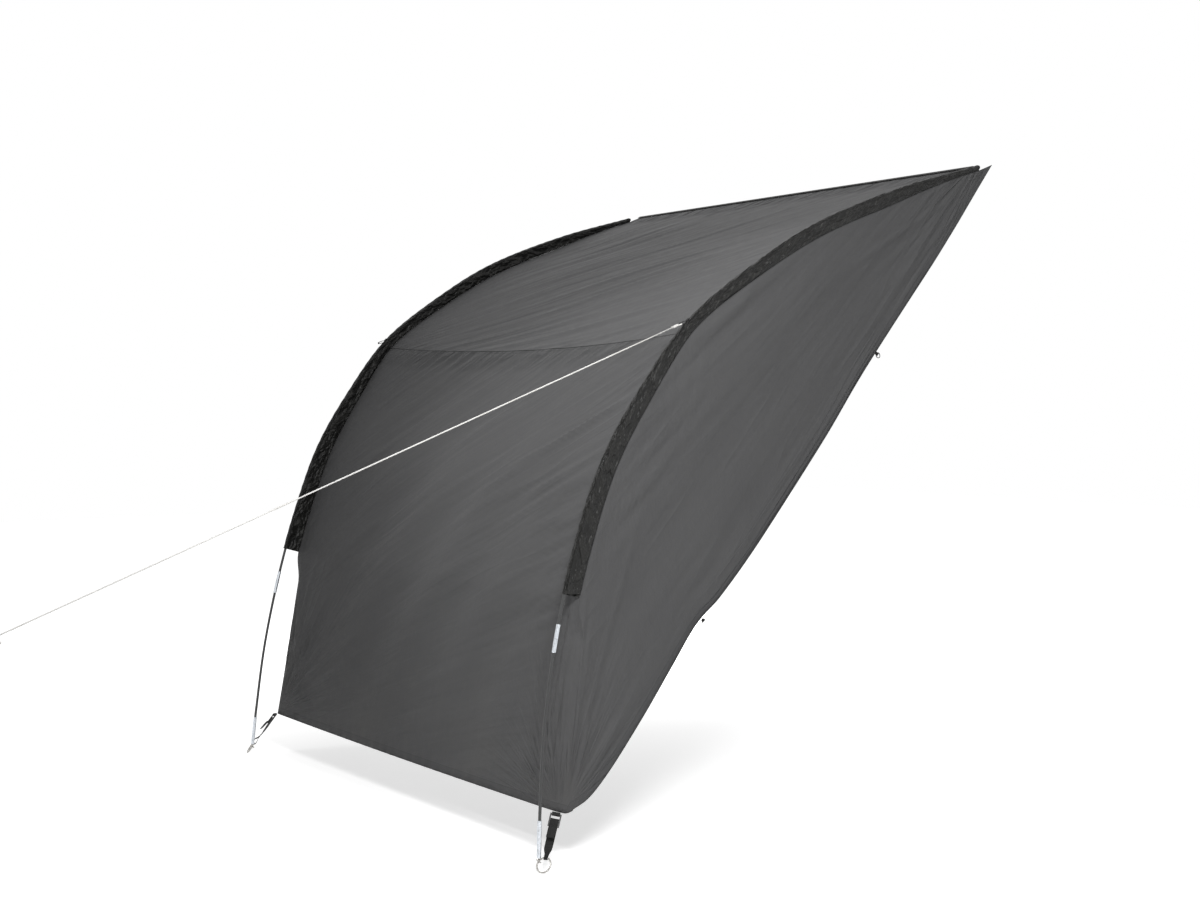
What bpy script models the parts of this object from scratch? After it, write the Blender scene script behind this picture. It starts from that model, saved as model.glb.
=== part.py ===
# Bicycle storage tent: a lean-to canopy that hangs from an awning rail on a wall and is
# held out by two arched fibreglass poles, each in a sleeve, with a guy line on the right.
#
# Frame: the origin is the middle of the keder cord in the awning rail, +Z is up, the tent
# reaches away from the rail along -Y, and the side at +X is called the right-hand side.
# The right-hand pieces are modelled, and all but the guy line have a mirrored twin on the left.

import math

import bmesh
import bpy
import numpy as np
from mathutils import Matrix, Vector

# Overall sizes, in metres.
RAIL_SPAN = 2.00
RAIL_HEIGHT = 2.165
FOOT_REACH = 1.855
POLE_END_HEIGHT = 0.037
POLE_TOP_REACH = 0.023
POLE_TOP_DROP = 0.007
SIDE_BOW = 0.060
FOOT_DRAW_IN = 0.023

# The arch from the rail to the foot, as shares of its reach and of its drop.
ARCH_SHAPE = (
    (0.0, 0.0),
    (0.205, 0.050),
    (0.405, 0.1147),
    (0.558, 0.189),
    (0.687, 0.2695),
    (0.782, 0.368),
    (0.857, 0.468),
    (0.911, 0.585),
    (0.949, 0.697),
    (0.978, 0.819),
    (0.994, 0.937),
    (1.0, 1.0),
)

# The side panel's free edge: how far it bows out from a straight line, as a share of its bow,
# along the share of the line from the rail to the corner. The two tie points pull it in a little.
FREE_EDGE_SHAPE = (
    (0.0, 0.0),
    (0.15, 0.46),
    (0.34, 0.72),
    (0.45, 0.97),
    (0.60, 1.0),
    (0.69, 0.80),
    (0.74, 0.50),
    (0.80, 0.55),
    (0.86, 0.60),
    (0.93, 0.56),
    (0.975, 0.38),
    (1.0, 0.0),
)

# Poles, ferrules and the pieces at the pole's foot.
POLE_RADIUS = 0.00475
POLE_SECTIONS = 5
LOWEST_SECTION = 0.626
SECTION_GAP = 0.0010
FERRULE_LENGTH = 0.082
FERRULE_WALL = 0.0010
FERRULE_CLEARANCE = 0.0005
END_TUBE_LENGTH = 0.105
POLE_IN_END_TUBE = 0.040
TOP_CAP_LENGTH = 0.022
TOP_CAP_WALL = 0.0014
POLE_IN_TOP_CAP = 0.016

# Cloth. The solids are thicker than the woven cloth that they stand for.
PANEL_CLOTH = 0.0020
SLEEVE_CLOTH = 0.0012
SEAM_GAP = 0.0016
SLEEVE_END_HEIGHT = 0.757
SLEEVE_BORE_CLEARANCE = 0.0009
WEB_AT_RAIL = 0.011
WEB_UPPER = 0.039
WEB_AT_GUY = 0.031
WEB_FULL = 0.056
GUY_POINT = 1.405
CORNER_HEIGHT = 0.151
CORNER_BEHIND_FOOT = 0.083
CORNER_SPREAD = 0.041
SEAM_SAG = 0.045
HEM_SAG = 0.006
HEM_DROOP = 0.006
ROOF_SAG = 0.020
FRONT_FOLD = 0.007
FRONT_FOLDS = 5
FOLD_LEAN = 1.0
SIDE_FOLD = 0.004
SIDE_FOLDS = 4
SIDE_APEX_REACH = 0.045
SIDE_ROWS = 26
FREE_EDGE_BOW = 0.078

# Keder: the cord in the rail and the tape that is folded round it.
KEDER_RADIUS = 0.00375
KEDER_TAPE = 0.0010
KEDER_FLANGE = 0.013
KEDER_END_MARGIN = 0.045

# Webbing, ladder-lock buckle, foot ring and pin.
WEBBING = 0.0014
STRAP_WIDTH = 0.025
STRAP_TAIL = 0.052
STRAP_LAP = 0.040
RING_RADIUS = 0.022
RING_WIRE = 0.00275
RING_LEAN = math.radians(35)
RING_TURN = math.radians(45)
EYE_DROP = 0.0095
EYE_ANGLE = math.radians(22)
STRAP_ANGLE = math.radians(42)
RING_SWING = math.radians(8)
RING_PLAY = 0.0030
STRAP_FOLD_WIDTH = 0.012
STRAP_FOLD_REACH = 0.014
STRAP_TWIST_REACH = 0.085
WEBBING_SPRING = 0.0003
TAIL_LIFT = 0.0010
RING_SETTLE = 0.0014
EYE_WIRE = 0.0020
EYE_RADIUS = 0.0068
PIN_RADIUS = 0.0030
PIN_PLUG_CLEARANCE = 0.0003
PIN_LENGTH = 0.055
BUCKLE_WIDTH = 0.034
BUCKLE_HEIGHT = 0.040
BUCKLE_THICK = 0.0040
BUCKLE_BAR = 0.0050
BUCKLE_RAIL = 0.0040
BUCKLE_DROP = 0.006
TAB_GAP = 0.0016
TAB_INSET = 0.022

# Guy line, its loop on the sleeve and its runner.
GUY_SLOPE = math.radians(21)
GUY_LENGTH = 2.262
GUY_RADIUS = 0.0020
GUY_BEND = 0.0085
GUY_LOOP_WIDTH = 0.010
GUY_LOOP_REACH = 0.027
GUY_LOOP_HALF = 0.0032
KNOT_RADIUS = 0.0047
KNOT_LENGTH = 0.024
RUNNER_AT = 2.215
RUNNER_WIDTH = 0.014
RUNNER_THICK = 0.0040
RUNNER_MARGIN = 0.0055
RUNNER_CLEARANCE = 0.0004
STOPPER_RADIUS = 0.0042
STOPPER_LENGTH = 0.011

# Tie points on the side panel's free edge.
TIE_PLACES = (0.315, 0.73)
TIE_WIDTH = 0.010
TIE_LENGTH = 0.012
TIE_RING_WIDTH = 0.016
TIE_RING_DEPTH = 0.014
TIE_WIRE = 0.0013

TOUCH = 0.0003
RIGHT, LEFT = "right", "left"


def clear_scene():
    """Start from an empty file."""
    for item in list(bpy.data.objects):
        bpy.data.objects.remove(item, do_unlink=True)
    for group in list(bpy.data.collections):
        bpy.data.collections.remove(group)


clear_scene()
PARTS = bpy.data.collections.new("bicycle_storage_tent")
CUTTERS = bpy.data.collections.new("cutters")
bpy.context.scene.collection.children.link(PARTS)
bpy.context.scene.collection.children.link(CUTTERS)


def finish(name, colour, roughness, metallic=0.0):
    """A plain material with the piece's colour, roughness and metallic value."""
    material = bpy.data.materials.new(name)
    material.use_nodes = True
    shader = material.node_tree.nodes["Principled BSDF"]
    shader.inputs["Base Color"].default_value = (*colour, 1.0)
    shader.inputs["Roughness"].default_value = roughness
    shader.inputs["Metallic"].default_value = metallic
    material.diffuse_color = (*colour, 1.0)
    return material


CANOPY = finish("grey_polyester", (0.095, 0.095, 0.097), 0.75)
SLEEVE = finish("black_sleeve_cloth", (0.014, 0.014, 0.013), 0.62)
WEB = finish("black_webbing", (0.008, 0.008, 0.008), 0.70)
FIBREGLASS = finish("dark_fibreglass", (0.030, 0.031, 0.031), 0.35)
STEEL = finish("bright_steel", (0.72, 0.75, 0.78), 0.25, 1.0)
FOOT_STEEL = finish("zinc_steel", (0.55, 0.54, 0.52), 0.35, 1.0)
NYLON = finish("black_nylon", (0.010, 0.010, 0.010), 0.45)
GUY_CORD = finish("white_cord", (0.80, 0.78, 0.76), 0.80)
RUNNER_NYLON = finish("white_nylon", (0.75, 0.75, 0.73), 0.45)
KEDER_PVC = finish("grey_keder", (0.30, 0.30, 0.30), 0.50)


def smooth_step(value):
    """Ease from 0 to 1 as value goes from 0 to 1."""
    value = min(max(value, 0.0), 1.0)
    return value * value * (3.0 - 2.0 * value)


def smooth_curve(points, steps):
    """Catmull-Rom curve through points, with a number of steps between each two."""
    points = [np.array(p, float) for p in points]
    before = 2 * points[0] - points[1]
    after = 2 * points[-1] - points[-2]
    chain = [before, *points, after]
    curve = []
    for i in range(1, len(chain) - 2):
        p0, p1, p2, p3 = chain[i - 1:i + 3]
        for k in range(steps):
            t = k / steps
            curve.append(0.5 * (2 * p1 + (p2 - p0) * t + (2 * p0 - 5 * p1 + 4 * p2 - p3) * t ** 2
                                + (3 * p1 - p0 - 3 * p2 + p3) * t ** 3))
    curve.append(points[-1])
    return curve


def half_width(z):
    """Half the distance between the poles at a height: the cloth draws them in between the ends."""
    share = -z / RAIL_HEIGHT
    return RAIL_SPAN / 2 - FOOT_DRAW_IN * share - SIDE_BOW * math.sin(math.pi * min(max(share, 0.0), 1.0))


class Arch:
    """The line of the right-hand pole's axis, measured along its length from the rail."""

    def __init__(self):
        drop = RAIL_HEIGHT - POLE_END_HEIGHT - POLE_TOP_DROP
        reach = FOOT_REACH - POLE_TOP_REACH
        flat = [(-POLE_TOP_REACH - a * reach, -POLE_TOP_DROP - b * drop) for a, b in ARCH_SHAPE]
        line = smooth_curve(flat, 24)
        self.points = np.array([(half_width(z), y, z) for y, z in line])
        steps = np.linalg.norm(np.diff(self.points, axis=0), axis=1)
        self.lengths = np.concatenate([[0.0], np.cumsum(steps)])
        self.length = float(self.lengths[-1])

    def at(self, s):
        """Point on the axis at a length s from the rail's end."""
        return np.array([np.interp(s, self.lengths, self.points[:, k]) for k in range(3)])

    def along(self, s):
        """Unit vector down the pole."""
        low, high = max(s - 0.02, 0.0), min(s + 0.02, self.length)
        step = self.at(high) - self.at(low)
        return step / np.linalg.norm(step)

    def inward(self, s):
        """Unit vector from the pole towards the inside of the tent, square to the pole."""
        t = self.along(s)
        n = np.array([0.0, -t[2], t[1]])
        n -= n.dot(t) * t
        return n / np.linalg.norm(n)


ARCH = Arch()
SLEEVE_END = ARCH.length - SLEEVE_END_HEIGHT


def web_width(s):
    """Distance from the pole's axis to the sleeve's seam: wide in each length, narrow at the guy point."""
    if s <= GUY_POINT:
        share = s / GUY_POINT
        width = WEB_AT_RAIL + (WEB_UPPER - WEB_AT_RAIL) * smooth_step(share / 0.38)
        return width + (WEB_AT_GUY - WEB_UPPER) * smooth_step((share - 0.6) / 0.4)
    share = min((s - GUY_POINT) / (SLEEVE_END - GUY_POINT), 1.0)
    return WEB_AT_GUY + (WEB_FULL - WEB_AT_GUY) * (1.0 - (1.0 - share) ** 2.6)


def corner_point():
    """Bottom corner of the front panel and the side panel."""
    z = CORNER_HEIGHT - RAIL_HEIGHT
    return np.array([half_width(z), CORNER_BEHIND_FOOT - FOOT_REACH, z])


def seam_point(s):
    """The seam between the main cloth, the side panel and the sleeve; s goes on past the sleeve."""
    if s <= SLEEVE_END:
        return ARCH.at(s) + ARCH.inward(s) * web_width(s)
    start = ARCH.at(SLEEVE_END) + ARCH.inward(SLEEVE_END) * web_width(SLEEVE_END)
    share = (s - SLEEVE_END) / (SEAM_LENGTH - SLEEVE_END)
    point = start + (corner_point() - start) * share
    point[0] = half_width(point[2])
    return point


SEAM_LENGTH = SLEEVE_END + float(np.linalg.norm(
    corner_point() - ARCH.at(SLEEVE_END) - ARCH.inward(SLEEVE_END) * web_width(SLEEVE_END)))


def seam_inward(s):
    """Inward direction at the seam, also below the end of the sleeve."""
    return ARCH.inward(min(s, SLEEVE_END))


def add_object(name, mesh, material):
    """Put a mesh into the part's collection as a named object."""
    item = bpy.data.objects.new(name, mesh)
    PARTS.objects.link(item)
    item.data.materials.append(material)
    return item


def evaluated(item):
    """The object's mesh with its modifiers applied, in place of the object's own data."""
    graph = bpy.context.evaluated_depsgraph_get()
    mesh = bpy.data.meshes.new_from_object(item.evaluated_get(graph))
    mesh.name = item.name
    return mesh


def shade(item, angle=math.radians(40)):
    """Smooth shading with sharp edges where faces meet at more than an angle."""
    item.data.shade_smooth()
    item.data.set_sharp_from_angle(angle=angle)
    return item


def sheet(name, rows, thickness, material, closed=False):
    """Cloth, tape or webbing: an open surface through rows of points, made solid about its middle."""
    mesh = bpy.data.meshes.new(name)
    count = len(rows[0])
    points = [tuple(p) for row in rows for p in row]
    faces = []
    last = len(rows) if closed else len(rows) - 1
    for i in range(last):
        for j in range(count - 1):
            a = i * count + j
            b = ((i + 1) % len(rows)) * count + j
            faces.append((a, a + 1, b + 1, b))
    mesh.from_pydata(points, [], faces)
    item = add_object(name, mesh, material)
    solid = item.modifiers.new("cloth thickness", "SOLIDIFY")
    solid.thickness = thickness
    solid.offset = 0.0
    return shade(item)


def tube(name, points, radius, material, sides=8, wall=None, closed=False):
    """A round bar through points, or with a wall a tube that is open at both ends."""
    curve = bpy.data.curves.new(name, "CURVE")
    curve.dimensions = "3D"
    curve.bevel_depth = radius
    curve.bevel_resolution = sides // 2 - 2
    curve.use_fill_caps = wall is None and not closed
    spline = curve.splines.new("POLY")
    spline.points.add(len(points) - 1)
    for knot, point in zip(spline.points, points):
        knot.co = (*point, 1.0)
    spline.use_cyclic_u = closed
    guide = bpy.data.objects.new(name + "_line", curve)
    PARTS.objects.link(guide)
    mesh = evaluated(guide)
    bpy.data.objects.remove(guide)
    bpy.data.curves.remove(curve)
    weld = bmesh.new()
    weld.from_mesh(mesh)
    bmesh.ops.remove_doubles(weld, verts=weld.verts, dist=0.00005)
    weld.to_mesh(mesh)
    weld.free()
    mesh.name = name
    item = add_object(name, mesh, material)
    if wall is not None:
        shell = item.modifiers.new("wall", "SOLIDIFY")
        shell.thickness = wall
        shell.offset = -1.0
        shell.use_even_offset = True
    return shade(item)


def stations(start, end, spacing):
    """Even lengths along the arch from one to another."""
    count = max(int(round((end - start) / spacing)), 1)
    return [start + (end - start) * k / count for k in range(count + 1)]


def ferrule_stations(s):
    """Lengths at which a ferrule and the rods in it both have their points, so that they stay parallel."""
    return stations(s - FERRULE_LENGTH / 2, s + FERRULE_LENGTH / 2, 0.027)


def frame_matrix(origin, x_axis, y_axis):
    """A placing matrix from an origin and two directions that are made square to each other."""
    x = Vector(x_axis).normalized()
    y = (Vector(y_axis) - Vector(y_axis).dot(x) * x).normalized()
    z = x.cross(y)
    return Matrix.Translation(Vector(origin)) @ Matrix((x, y, z)).transposed().to_4x4()


def block(name, size, centre, material=None, collection=None):
    """A box of a size about a centre, as a primitive mesh with its scale applied."""
    mesh = bpy.data.meshes.new(name)
    build = bmesh.new()
    bmesh.ops.create_cube(build, size=1.0)
    bmesh.ops.scale(build, vec=Vector(size), verts=build.verts)
    bmesh.ops.translate(build, vec=Vector(centre), verts=build.verts)
    build.to_mesh(mesh)
    build.free()
    item = bpy.data.objects.new(name, mesh)
    (collection or PARTS).objects.link(item)
    if material is not None:
        mesh.materials.append(material)
    return item


def rod(name, radius, length, centre, axis="Z", sides=12, collection=None):
    """A cylinder as a primitive, along X, Y or Z."""
    mesh = bpy.data.meshes.new(name)
    build = bmesh.new()
    bmesh.ops.create_cone(build, cap_ends=True, segments=sides, radius1=radius, radius2=radius, depth=length)
    turn = {"X": Matrix.Rotation(math.pi / 2, 3, "Y"), "Y": Matrix.Rotation(math.pi / 2, 3, "X"),
            "Z": Matrix.Identity(3)}[axis]
    bmesh.ops.rotate(build, cent=(0, 0, 0), matrix=turn, verts=build.verts)
    bmesh.ops.translate(build, vec=Vector(centre), verts=build.verts)
    build.to_mesh(mesh)
    build.free()
    item = bpy.data.objects.new(name, mesh)
    (collection or PARTS).objects.link(item)
    return item


def as_cutter(item):
    """Keep a tool body out of the finished part."""
    for group in list(item.users_collection):
        group.objects.unlink(item)
    CUTTERS.objects.link(item)
    item.hide_render = True
    item.display_type = "WIRE"
    return item


def boolean(item, tool, operation="DIFFERENCE"):
    """Cut a tool body out of an object, or join it on."""
    step = item.modifiers.new(tool.name, "BOOLEAN")
    step.operation = operation
    step.solver = "EXACT"
    step.object = tool
    return item


def twin(item):
    """The same piece on the other side of the tent."""
    mesh = evaluated(item)
    mesh.transform(Matrix.Scale(-1.0, 4, (1, 0, 0)) @ item.matrix_world)
    mesh.flip_normals()
    name = item.name.replace(RIGHT, LEFT)
    mesh.name = name
    copy = bpy.data.objects.new(name, mesh)
    PARTS.objects.link(copy)
    return copy


# Canopy: roof, front and sides.

def across(count):
    """Shares from -1 to 1 across the tent, closer together near the poles."""
    return [math.sin(math.pi / 2 * (2.0 * k / (count - 1) - 1.0)) * 0.35 + (2.0 * k / (count - 1) - 1.0) * 0.65
            for k in range(count)]


def main_cloth_point(u, s, sag, droop=0.0, fold=0.0):
    """A point of the roof or front: on the line between the two seams at s, sagging inward between."""
    edge = seam_point(s)
    inward = seam_inward(s)
    slack = 1.0 - u * u
    point = np.array([u * (edge[0] - SEAM_GAP), edge[1], edge[2]])
    point += inward * (sag * slack + fold * slack)
    point[2] -= droop * slack
    return point


def roof_edge_point(u):
    """The roof's edge along the keder tape, which dips to the seam beyond the tape's ends."""
    edge = seam_point(0.0)
    x = u * (edge[0] - SEAM_GAP)
    straight = np.array([x, -KEDER_FLANGE - 2 * TOUCH, -math.tan(math.radians(13)) * KEDER_FLANGE])
    keder_half = RAIL_SPAN / 2 - KEDER_END_MARGIN
    share = smooth_step((abs(x) - keder_half) / (edge[0] - SEAM_GAP - keder_half))
    return straight + (np.array([x, edge[1], edge[2]]) - straight) * share


def make_roof():
    """Roof panel, from the keder tape to the seam between the guy points."""
    shares = across(15)
    rows = [[roof_edge_point(u) for u in shares]]
    steps = 10
    for k in range(1, steps + 1):
        v = k / steps
        sag = ROOF_SAG * math.sin(math.pi * v) + SEAM_SAG * v ** 1.5
        rows.append([main_cloth_point(u, (GUY_POINT - TOUCH) * v, sag) for u in shares])
    return sheet("roof_panel", rows, PANEL_CLOTH, CANOPY)


def make_front():
    """Front panel, from the seam between the guy points down to its hem, with its main folds."""
    shares = across(23)
    steps = 12
    rows = []
    for k in range(steps + 1):
        v = k / steps
        s = GUY_POINT + TOUCH + (SEAM_LENGTH - GUY_POINT - TOUCH) * v
        sag = SEAM_SAG + (HEM_SAG - SEAM_SAG) * smooth_step(v)
        depth = FRONT_FOLD * math.sin(math.pi * v)
        lean = FOLD_LEAN * (v - 0.5)
        row = [main_cloth_point(u, s, sag, HEM_DROOP * v ** 3,
                                depth * math.cos(math.pi * FRONT_FOLDS * (u + lean)))
               for u in shares]
        rows.append(row)
    return sheet("front_panel", rows, PANEL_CLOTH, CANOPY)


FREE_EDGE = np.array(smooth_curve(FREE_EDGE_SHAPE, 10))


def free_edge_point(v):
    """The side panel's free edge, from the rail's end to the bottom corner, bowed along the wall behind it."""
    top = np.array([half_width(0.0), SIDE_APEX_REACH, POLE_TOP_DROP])
    bottom = corner_point() + np.array([0.0, CORNER_SPREAD, 0.003])
    point = top + (bottom - top) * v
    chord = (bottom - top) / np.linalg.norm(bottom - top)
    out = np.array([0.0, -chord[2], chord[1]])
    point += out * FREE_EDGE_BOW * np.interp(v, FREE_EDGE[:, 0], FREE_EDGE[:, 1])
    point[0] = half_width(point[2])
    return point


def free_edge_share(v):
    """Where a row of the side panel meets the free edge; rows crowd together at the rounded corner."""
    return 1.0 - (1.0 - v) ** 1.3


def make_side():
    """Side panel, between the seam under the sleeve and its free edge."""
    rows = []
    across_steps = 5
    for k in range(SIDE_ROWS + 1):
        v = k / SIDE_ROWS
        seam = seam_point(SEAM_LENGTH * v)
        free = free_edge_point(free_edge_share(v))
        run = free - seam
        length = np.linalg.norm(run)
        row = []
        for j in range(across_steps + 1):
            w = j / across_steps
            point = seam + run / length * (SEAM_GAP + (length - SEAM_GAP) * w)
            slack = math.sin(math.pi * w) * smooth_step((length - 0.09) / 0.3)
            point[0] -= SIDE_FOLD * slack * (1.0 + math.cos(2 * math.pi * SIDE_FOLDS * w * 0.5))
            row.append(point)
        rows.append(row)
    return sheet("side_panel_right", rows, PANEL_CLOTH, CANOPY)


# Sleeves: a folded strip with the pole in its outer edge, sewn to the seam at its root.

def ferrule_radius():
    """Outer radius of a ferrule over a faceted pole, with room for the pole's corners."""
    bore = (POLE_RADIUS + FERRULE_CLEARANCE) / math.cos(math.pi / 12)
    return bore + FERRULE_WALL


def sleeve_core():
    """Radius of the sleeve's cloth where it goes round the pole, at the middle of the cloth."""
    return (ferrule_radius() + SLEEVE_BORE_CLEARANCE) / math.cos(math.pi / 14) + SLEEVE_CLOTH / 2


def folded_profile(core, root_depth, root_half, turns=7):
    """Points (sideways, inward) of a strip folded round a core, from one root edge to the other."""
    beta = math.acos(min(core / root_depth, 0.98))
    points = [(root_half, root_depth)]
    for k in range(turns):
        angle = beta + (2 * math.pi - 2 * beta) * k / (turns - 1)
        points.append((core * math.sin(angle), core * math.cos(angle)))
    points.append((-root_half, root_depth))
    return points


def make_sleeve(name, start, end):
    """One length of pole sleeve."""
    count = max(int(round((end - start) / 0.075)), 2)
    rows = []
    for k in range(count + 1):
        s = start + (end - start) * k / count
        centre = ARCH.at(s)
        inward = ARCH.inward(s)
        side = np.cross(ARCH.along(s), inward)
        root = web_width(s) - SEAM_GAP
        profile = folded_profile(sleeve_core(), root, SLEEVE_CLOTH / 2 + TOUCH)
        rows.append([centre + side * x + inward * n for x, n in profile])
    return sheet(name, rows, SLEEVE_CLOTH, SLEEVE)


# Keder.

def make_keder():
    """The keder cord that runs in the awning rail, and the tape that is folded round it."""
    half = RAIL_SPAN / 2 - KEDER_END_MARGIN
    cord = tube("keder_cord", [(-half, 0, 0), (0, 0, 0), (half, 0, 0)], KEDER_RADIUS, KEDER_PVC, sides=12)
    slope = math.radians(13)
    out = np.array([0.0, -math.cos(slope), -math.sin(slope)])
    up = np.array([0.0, -math.sin(slope), math.cos(slope)])
    core = (KEDER_RADIUS + TOUCH) / math.cos(math.pi / 14) + KEDER_TAPE / 2
    profile = folded_profile(core, KEDER_FLANGE, KEDER_TAPE / 2 + TOUCH)
    rows = []
    for x in (-half, 0.0, half):
        rows.append([np.array([x, 0, 0]) + up * a + out * b for a, b in profile])
    tape = sheet("keder_tape", rows, KEDER_TAPE, SLEEVE)
    return cord, tape


# Poles, ferrules, end tube and top cap.

def joint_lengths():
    """Lengths from the rail at which two pole sections meet, top first."""
    upper = (ARCH.length - LOWEST_SECTION) / (POLE_SECTIONS - 1)
    return [upper * (k + 1) for k in range(POLE_SECTIONS - 1)]


def make_pole():
    """Five rods on one arch, joined by ferrules, with a steel tube below and a cap on top."""
    made = []
    bottom = ARCH.length - END_TUBE_LENGTH + POLE_IN_END_TUBE
    ends = [TOP_CAP_LENGTH - POLE_IN_TOP_CAP + TOUCH, *joint_lengths(), bottom]
    shared = [s for joint in joint_lengths() for s in ferrule_stations(joint)]
    shared += stations(ARCH.length - END_TUBE_LENGTH, ARCH.length, 0.035)
    for k in range(POLE_SECTIONS):
        start = ends[k] + (SECTION_GAP / 2 if k else 0.0)
        end = ends[k + 1] - (SECTION_GAP / 2 if k < POLE_SECTIONS - 1 else 0.0)
        inner = [s for s in shared if start + 0.004 < s < end - 0.004]
        low = max([s for s in inner if s < (start + end) / 2], default=start)
        high = min(s for s in inner if s > (start + end) / 2)
        places = sorted({start, end, *inner, *stations(low, high, 0.105)})
        points = [ARCH.at(s) for s in places]
        made.append(tube(f"pole_section_{k + 1}_right", points, POLE_RADIUS, FIBREGLASS, sides=12))
    for k, s in enumerate(joint_lengths()):
        points = [ARCH.at(p) for p in ferrule_stations(s)]
        made.append(tube(f"ferrule_{k + 1}_right", points, ferrule_radius(), STEEL, sides=12,
                         wall=FERRULE_WALL))
    points = [ARCH.at(s) for s in stations(ARCH.length - END_TUBE_LENGTH, ARCH.length, 0.035)]
    made.append(tube("pole_end_tube_right", points, ferrule_radius(), STEEL, sides=12, wall=FERRULE_WALL))
    points = [ARCH.at(s) for s in stations(0.0, TOP_CAP_LENGTH, 0.006)]
    cap = tube("pole_top_cap_right", points, ferrule_radius(), NYLON, sides=12)
    bore = rod("cap_bore", ferrule_radius() - TOP_CAP_WALL, POLE_IN_TOP_CAP, (0, 0, 0), "Z", 12)
    low = ARCH.at(TOP_CAP_LENGTH)
    bore.matrix_world = frame_matrix(low, np.cross(ARCH.along(0.01), ARCH.inward(0.01)), ARCH.inward(0.01))
    bore.scale = (1.0, 1.0, 2.0)
    made.append(cap)
    return made, cap, as_cutter(bore)


# Foot: pin, ring, strap, buckle and tab.

PIN_PLUG_RADIUS = (ferrule_radius() - FERRULE_WALL) * math.cos(math.pi / 12) - PIN_PLUG_CLEARANCE


class Foot:
    """Places and directions at the right-hand pole's foot."""

    def __init__(self):
        flat_side = np.array([0.6, 0.8, 0.0])
        up = np.array([0.0, 0.0, 1.0])
        away = np.array([-0.8, 0.6, 0.0])
        self.long = math.cos(RING_LEAN) * flat_side + math.sin(RING_LEAN) * up
        self.short = (math.cos(RING_TURN) * (math.sin(RING_LEAN) * flat_side - math.cos(RING_LEAN) * up)
                      - math.sin(RING_TURN) * away)
        self.tube_end = ARCH.at(ARCH.length)
        self.down = ARCH.along(ARCH.length)
        self.eye = self.tube_end + self.down * EYE_DROP
        self.centre = self.eye - RING_RADIUS * self.toward(-EYE_ANGLE)
        self.strap = self.centre + RING_RADIUS * self.toward(STRAP_ANGLE)
        self.strap_side = self.tangent(STRAP_ANGLE)
        self.flat_side = flat_side

    def toward(self, angle):
        """Direction from the ring's centre, measured from its upper side."""
        return math.sin(angle) * self.long - math.cos(angle) * self.short

    def tangent(self, angle):
        """Direction along the ring's wire."""
        return math.cos(angle) * self.long + math.sin(angle) * self.short


FOOT = Foot()


def ring_points(centre, a, b, radius, count):
    """Points of a round ring in the plane of two directions."""
    angles = [2 * math.pi * k / count for k in range(count)]
    return [centre + radius * (math.cos(t) * a + math.sin(t) * b) for t in angles]


def make_foot_ring():
    """Welded steel ring that a ground peg goes through."""
    points = ring_points(FOOT.centre, FOOT.long, FOOT.short, RING_RADIUS, 24)
    return tube("foot_ring_right", points, RING_WIRE, FOOT_STEEL, sides=8, closed=True)


def make_foot_pin():
    """Pin that stands in the pole's end tube, with an eye round the ring's wire."""
    tangent = FOOT.tangent(-EYE_ANGLE)
    a = FOOT.down - FOOT.down.dot(tangent) * tangent
    a = a / np.linalg.norm(a)
    b = np.cross(tangent, a)
    eye = tube("foot_pin_right", ring_points(FOOT.eye, a, b, EYE_RADIUS, 16), EYE_WIRE, FOOT_STEEL, 8,
               closed=True)
    top = FOOT.tube_end - FOOT.down * (PIN_LENGTH - EYE_DROP)
    bend = FOOT.tube_end + FOOT.down * 0.0006
    shank = tube("pin_shank", [top, bend, FOOT.eye - a * EYE_RADIUS], PIN_RADIUS, FOOT_STEEL, 10)
    boolean(eye, as_cutter(shank), "UNION")
    plug = tube("pin_plug", [top, FOOT.tube_end - FOOT.down * 0.002], PIN_PLUG_RADIUS, FOOT_STEEL, 12)
    boolean(eye, as_cutter(plug), "UNION")
    return eye


def buckle_frame():
    """Origin and directions of the ladder-lock: width, pull direction (up the strap) and face."""
    pull = corner_point() - np.array([TAB_INSET, 0.0, 0.0]) - FOOT.strap
    length = float(np.linalg.norm(pull))
    pull = pull / length
    width = FOOT.flat_side - FOOT.flat_side.dot(pull) * pull
    width = width / np.linalg.norm(width)
    face = np.cross(width, pull)
    return length, width, pull, face


STRAP_LENGTH, BUCKLE_SIDE, PULL, FACE = buckle_frame()
BUCKLE_TOP = STRAP_LENGTH - BUCKLE_DROP
TOP_BAR = BUCKLE_TOP - BUCKLE_BAR / 2
MIDDLE_BAR = BUCKLE_TOP - BUCKLE_HEIGHT * 0.5
LOW_BAR = BUCKLE_TOP - BUCKLE_HEIGHT + BUCKLE_BAR / 2


def make_buckle():
    """Ladder-lock buckle: two rails and three bars, with a lip on the lowest to lift it by."""
    centre = FOOT.strap + PULL * (BUCKLE_TOP - BUCKLE_HEIGHT / 2)
    item = block("strap_buckle_right", (BUCKLE_WIDTH, BUCKLE_HEIGHT, BUCKLE_THICK), (0, 0, 0), NYLON)
    inner = BUCKLE_WIDTH - 2 * BUCKLE_RAIL
    low = -BUCKLE_HEIGHT / 2
    places = [(TOP_BAR, MIDDLE_BAR), (MIDDLE_BAR, LOW_BAR)]
    for upper, lower in places:
        height = upper - lower - BUCKLE_BAR
        middle = (upper + lower) / 2 - (BUCKLE_TOP - BUCKLE_HEIGHT / 2)
        slot = block("buckle_slot", (inner, height, BUCKLE_THICK * 3), (0, middle, 0))
        boolean(item, as_cutter(slot))
    lip = rod("buckle_lip", BUCKLE_BAR * 0.55, inner * 0.8, (0, low, BUCKLE_THICK * 0.35), "X", 10)
    boolean(item, as_cutter(lip), "UNION")
    place = frame_matrix(centre, BUCKLE_SIDE, PULL)
    item.matrix_world = place
    for step in item.modifiers:
        step.object.matrix_world = place
    return item


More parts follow.
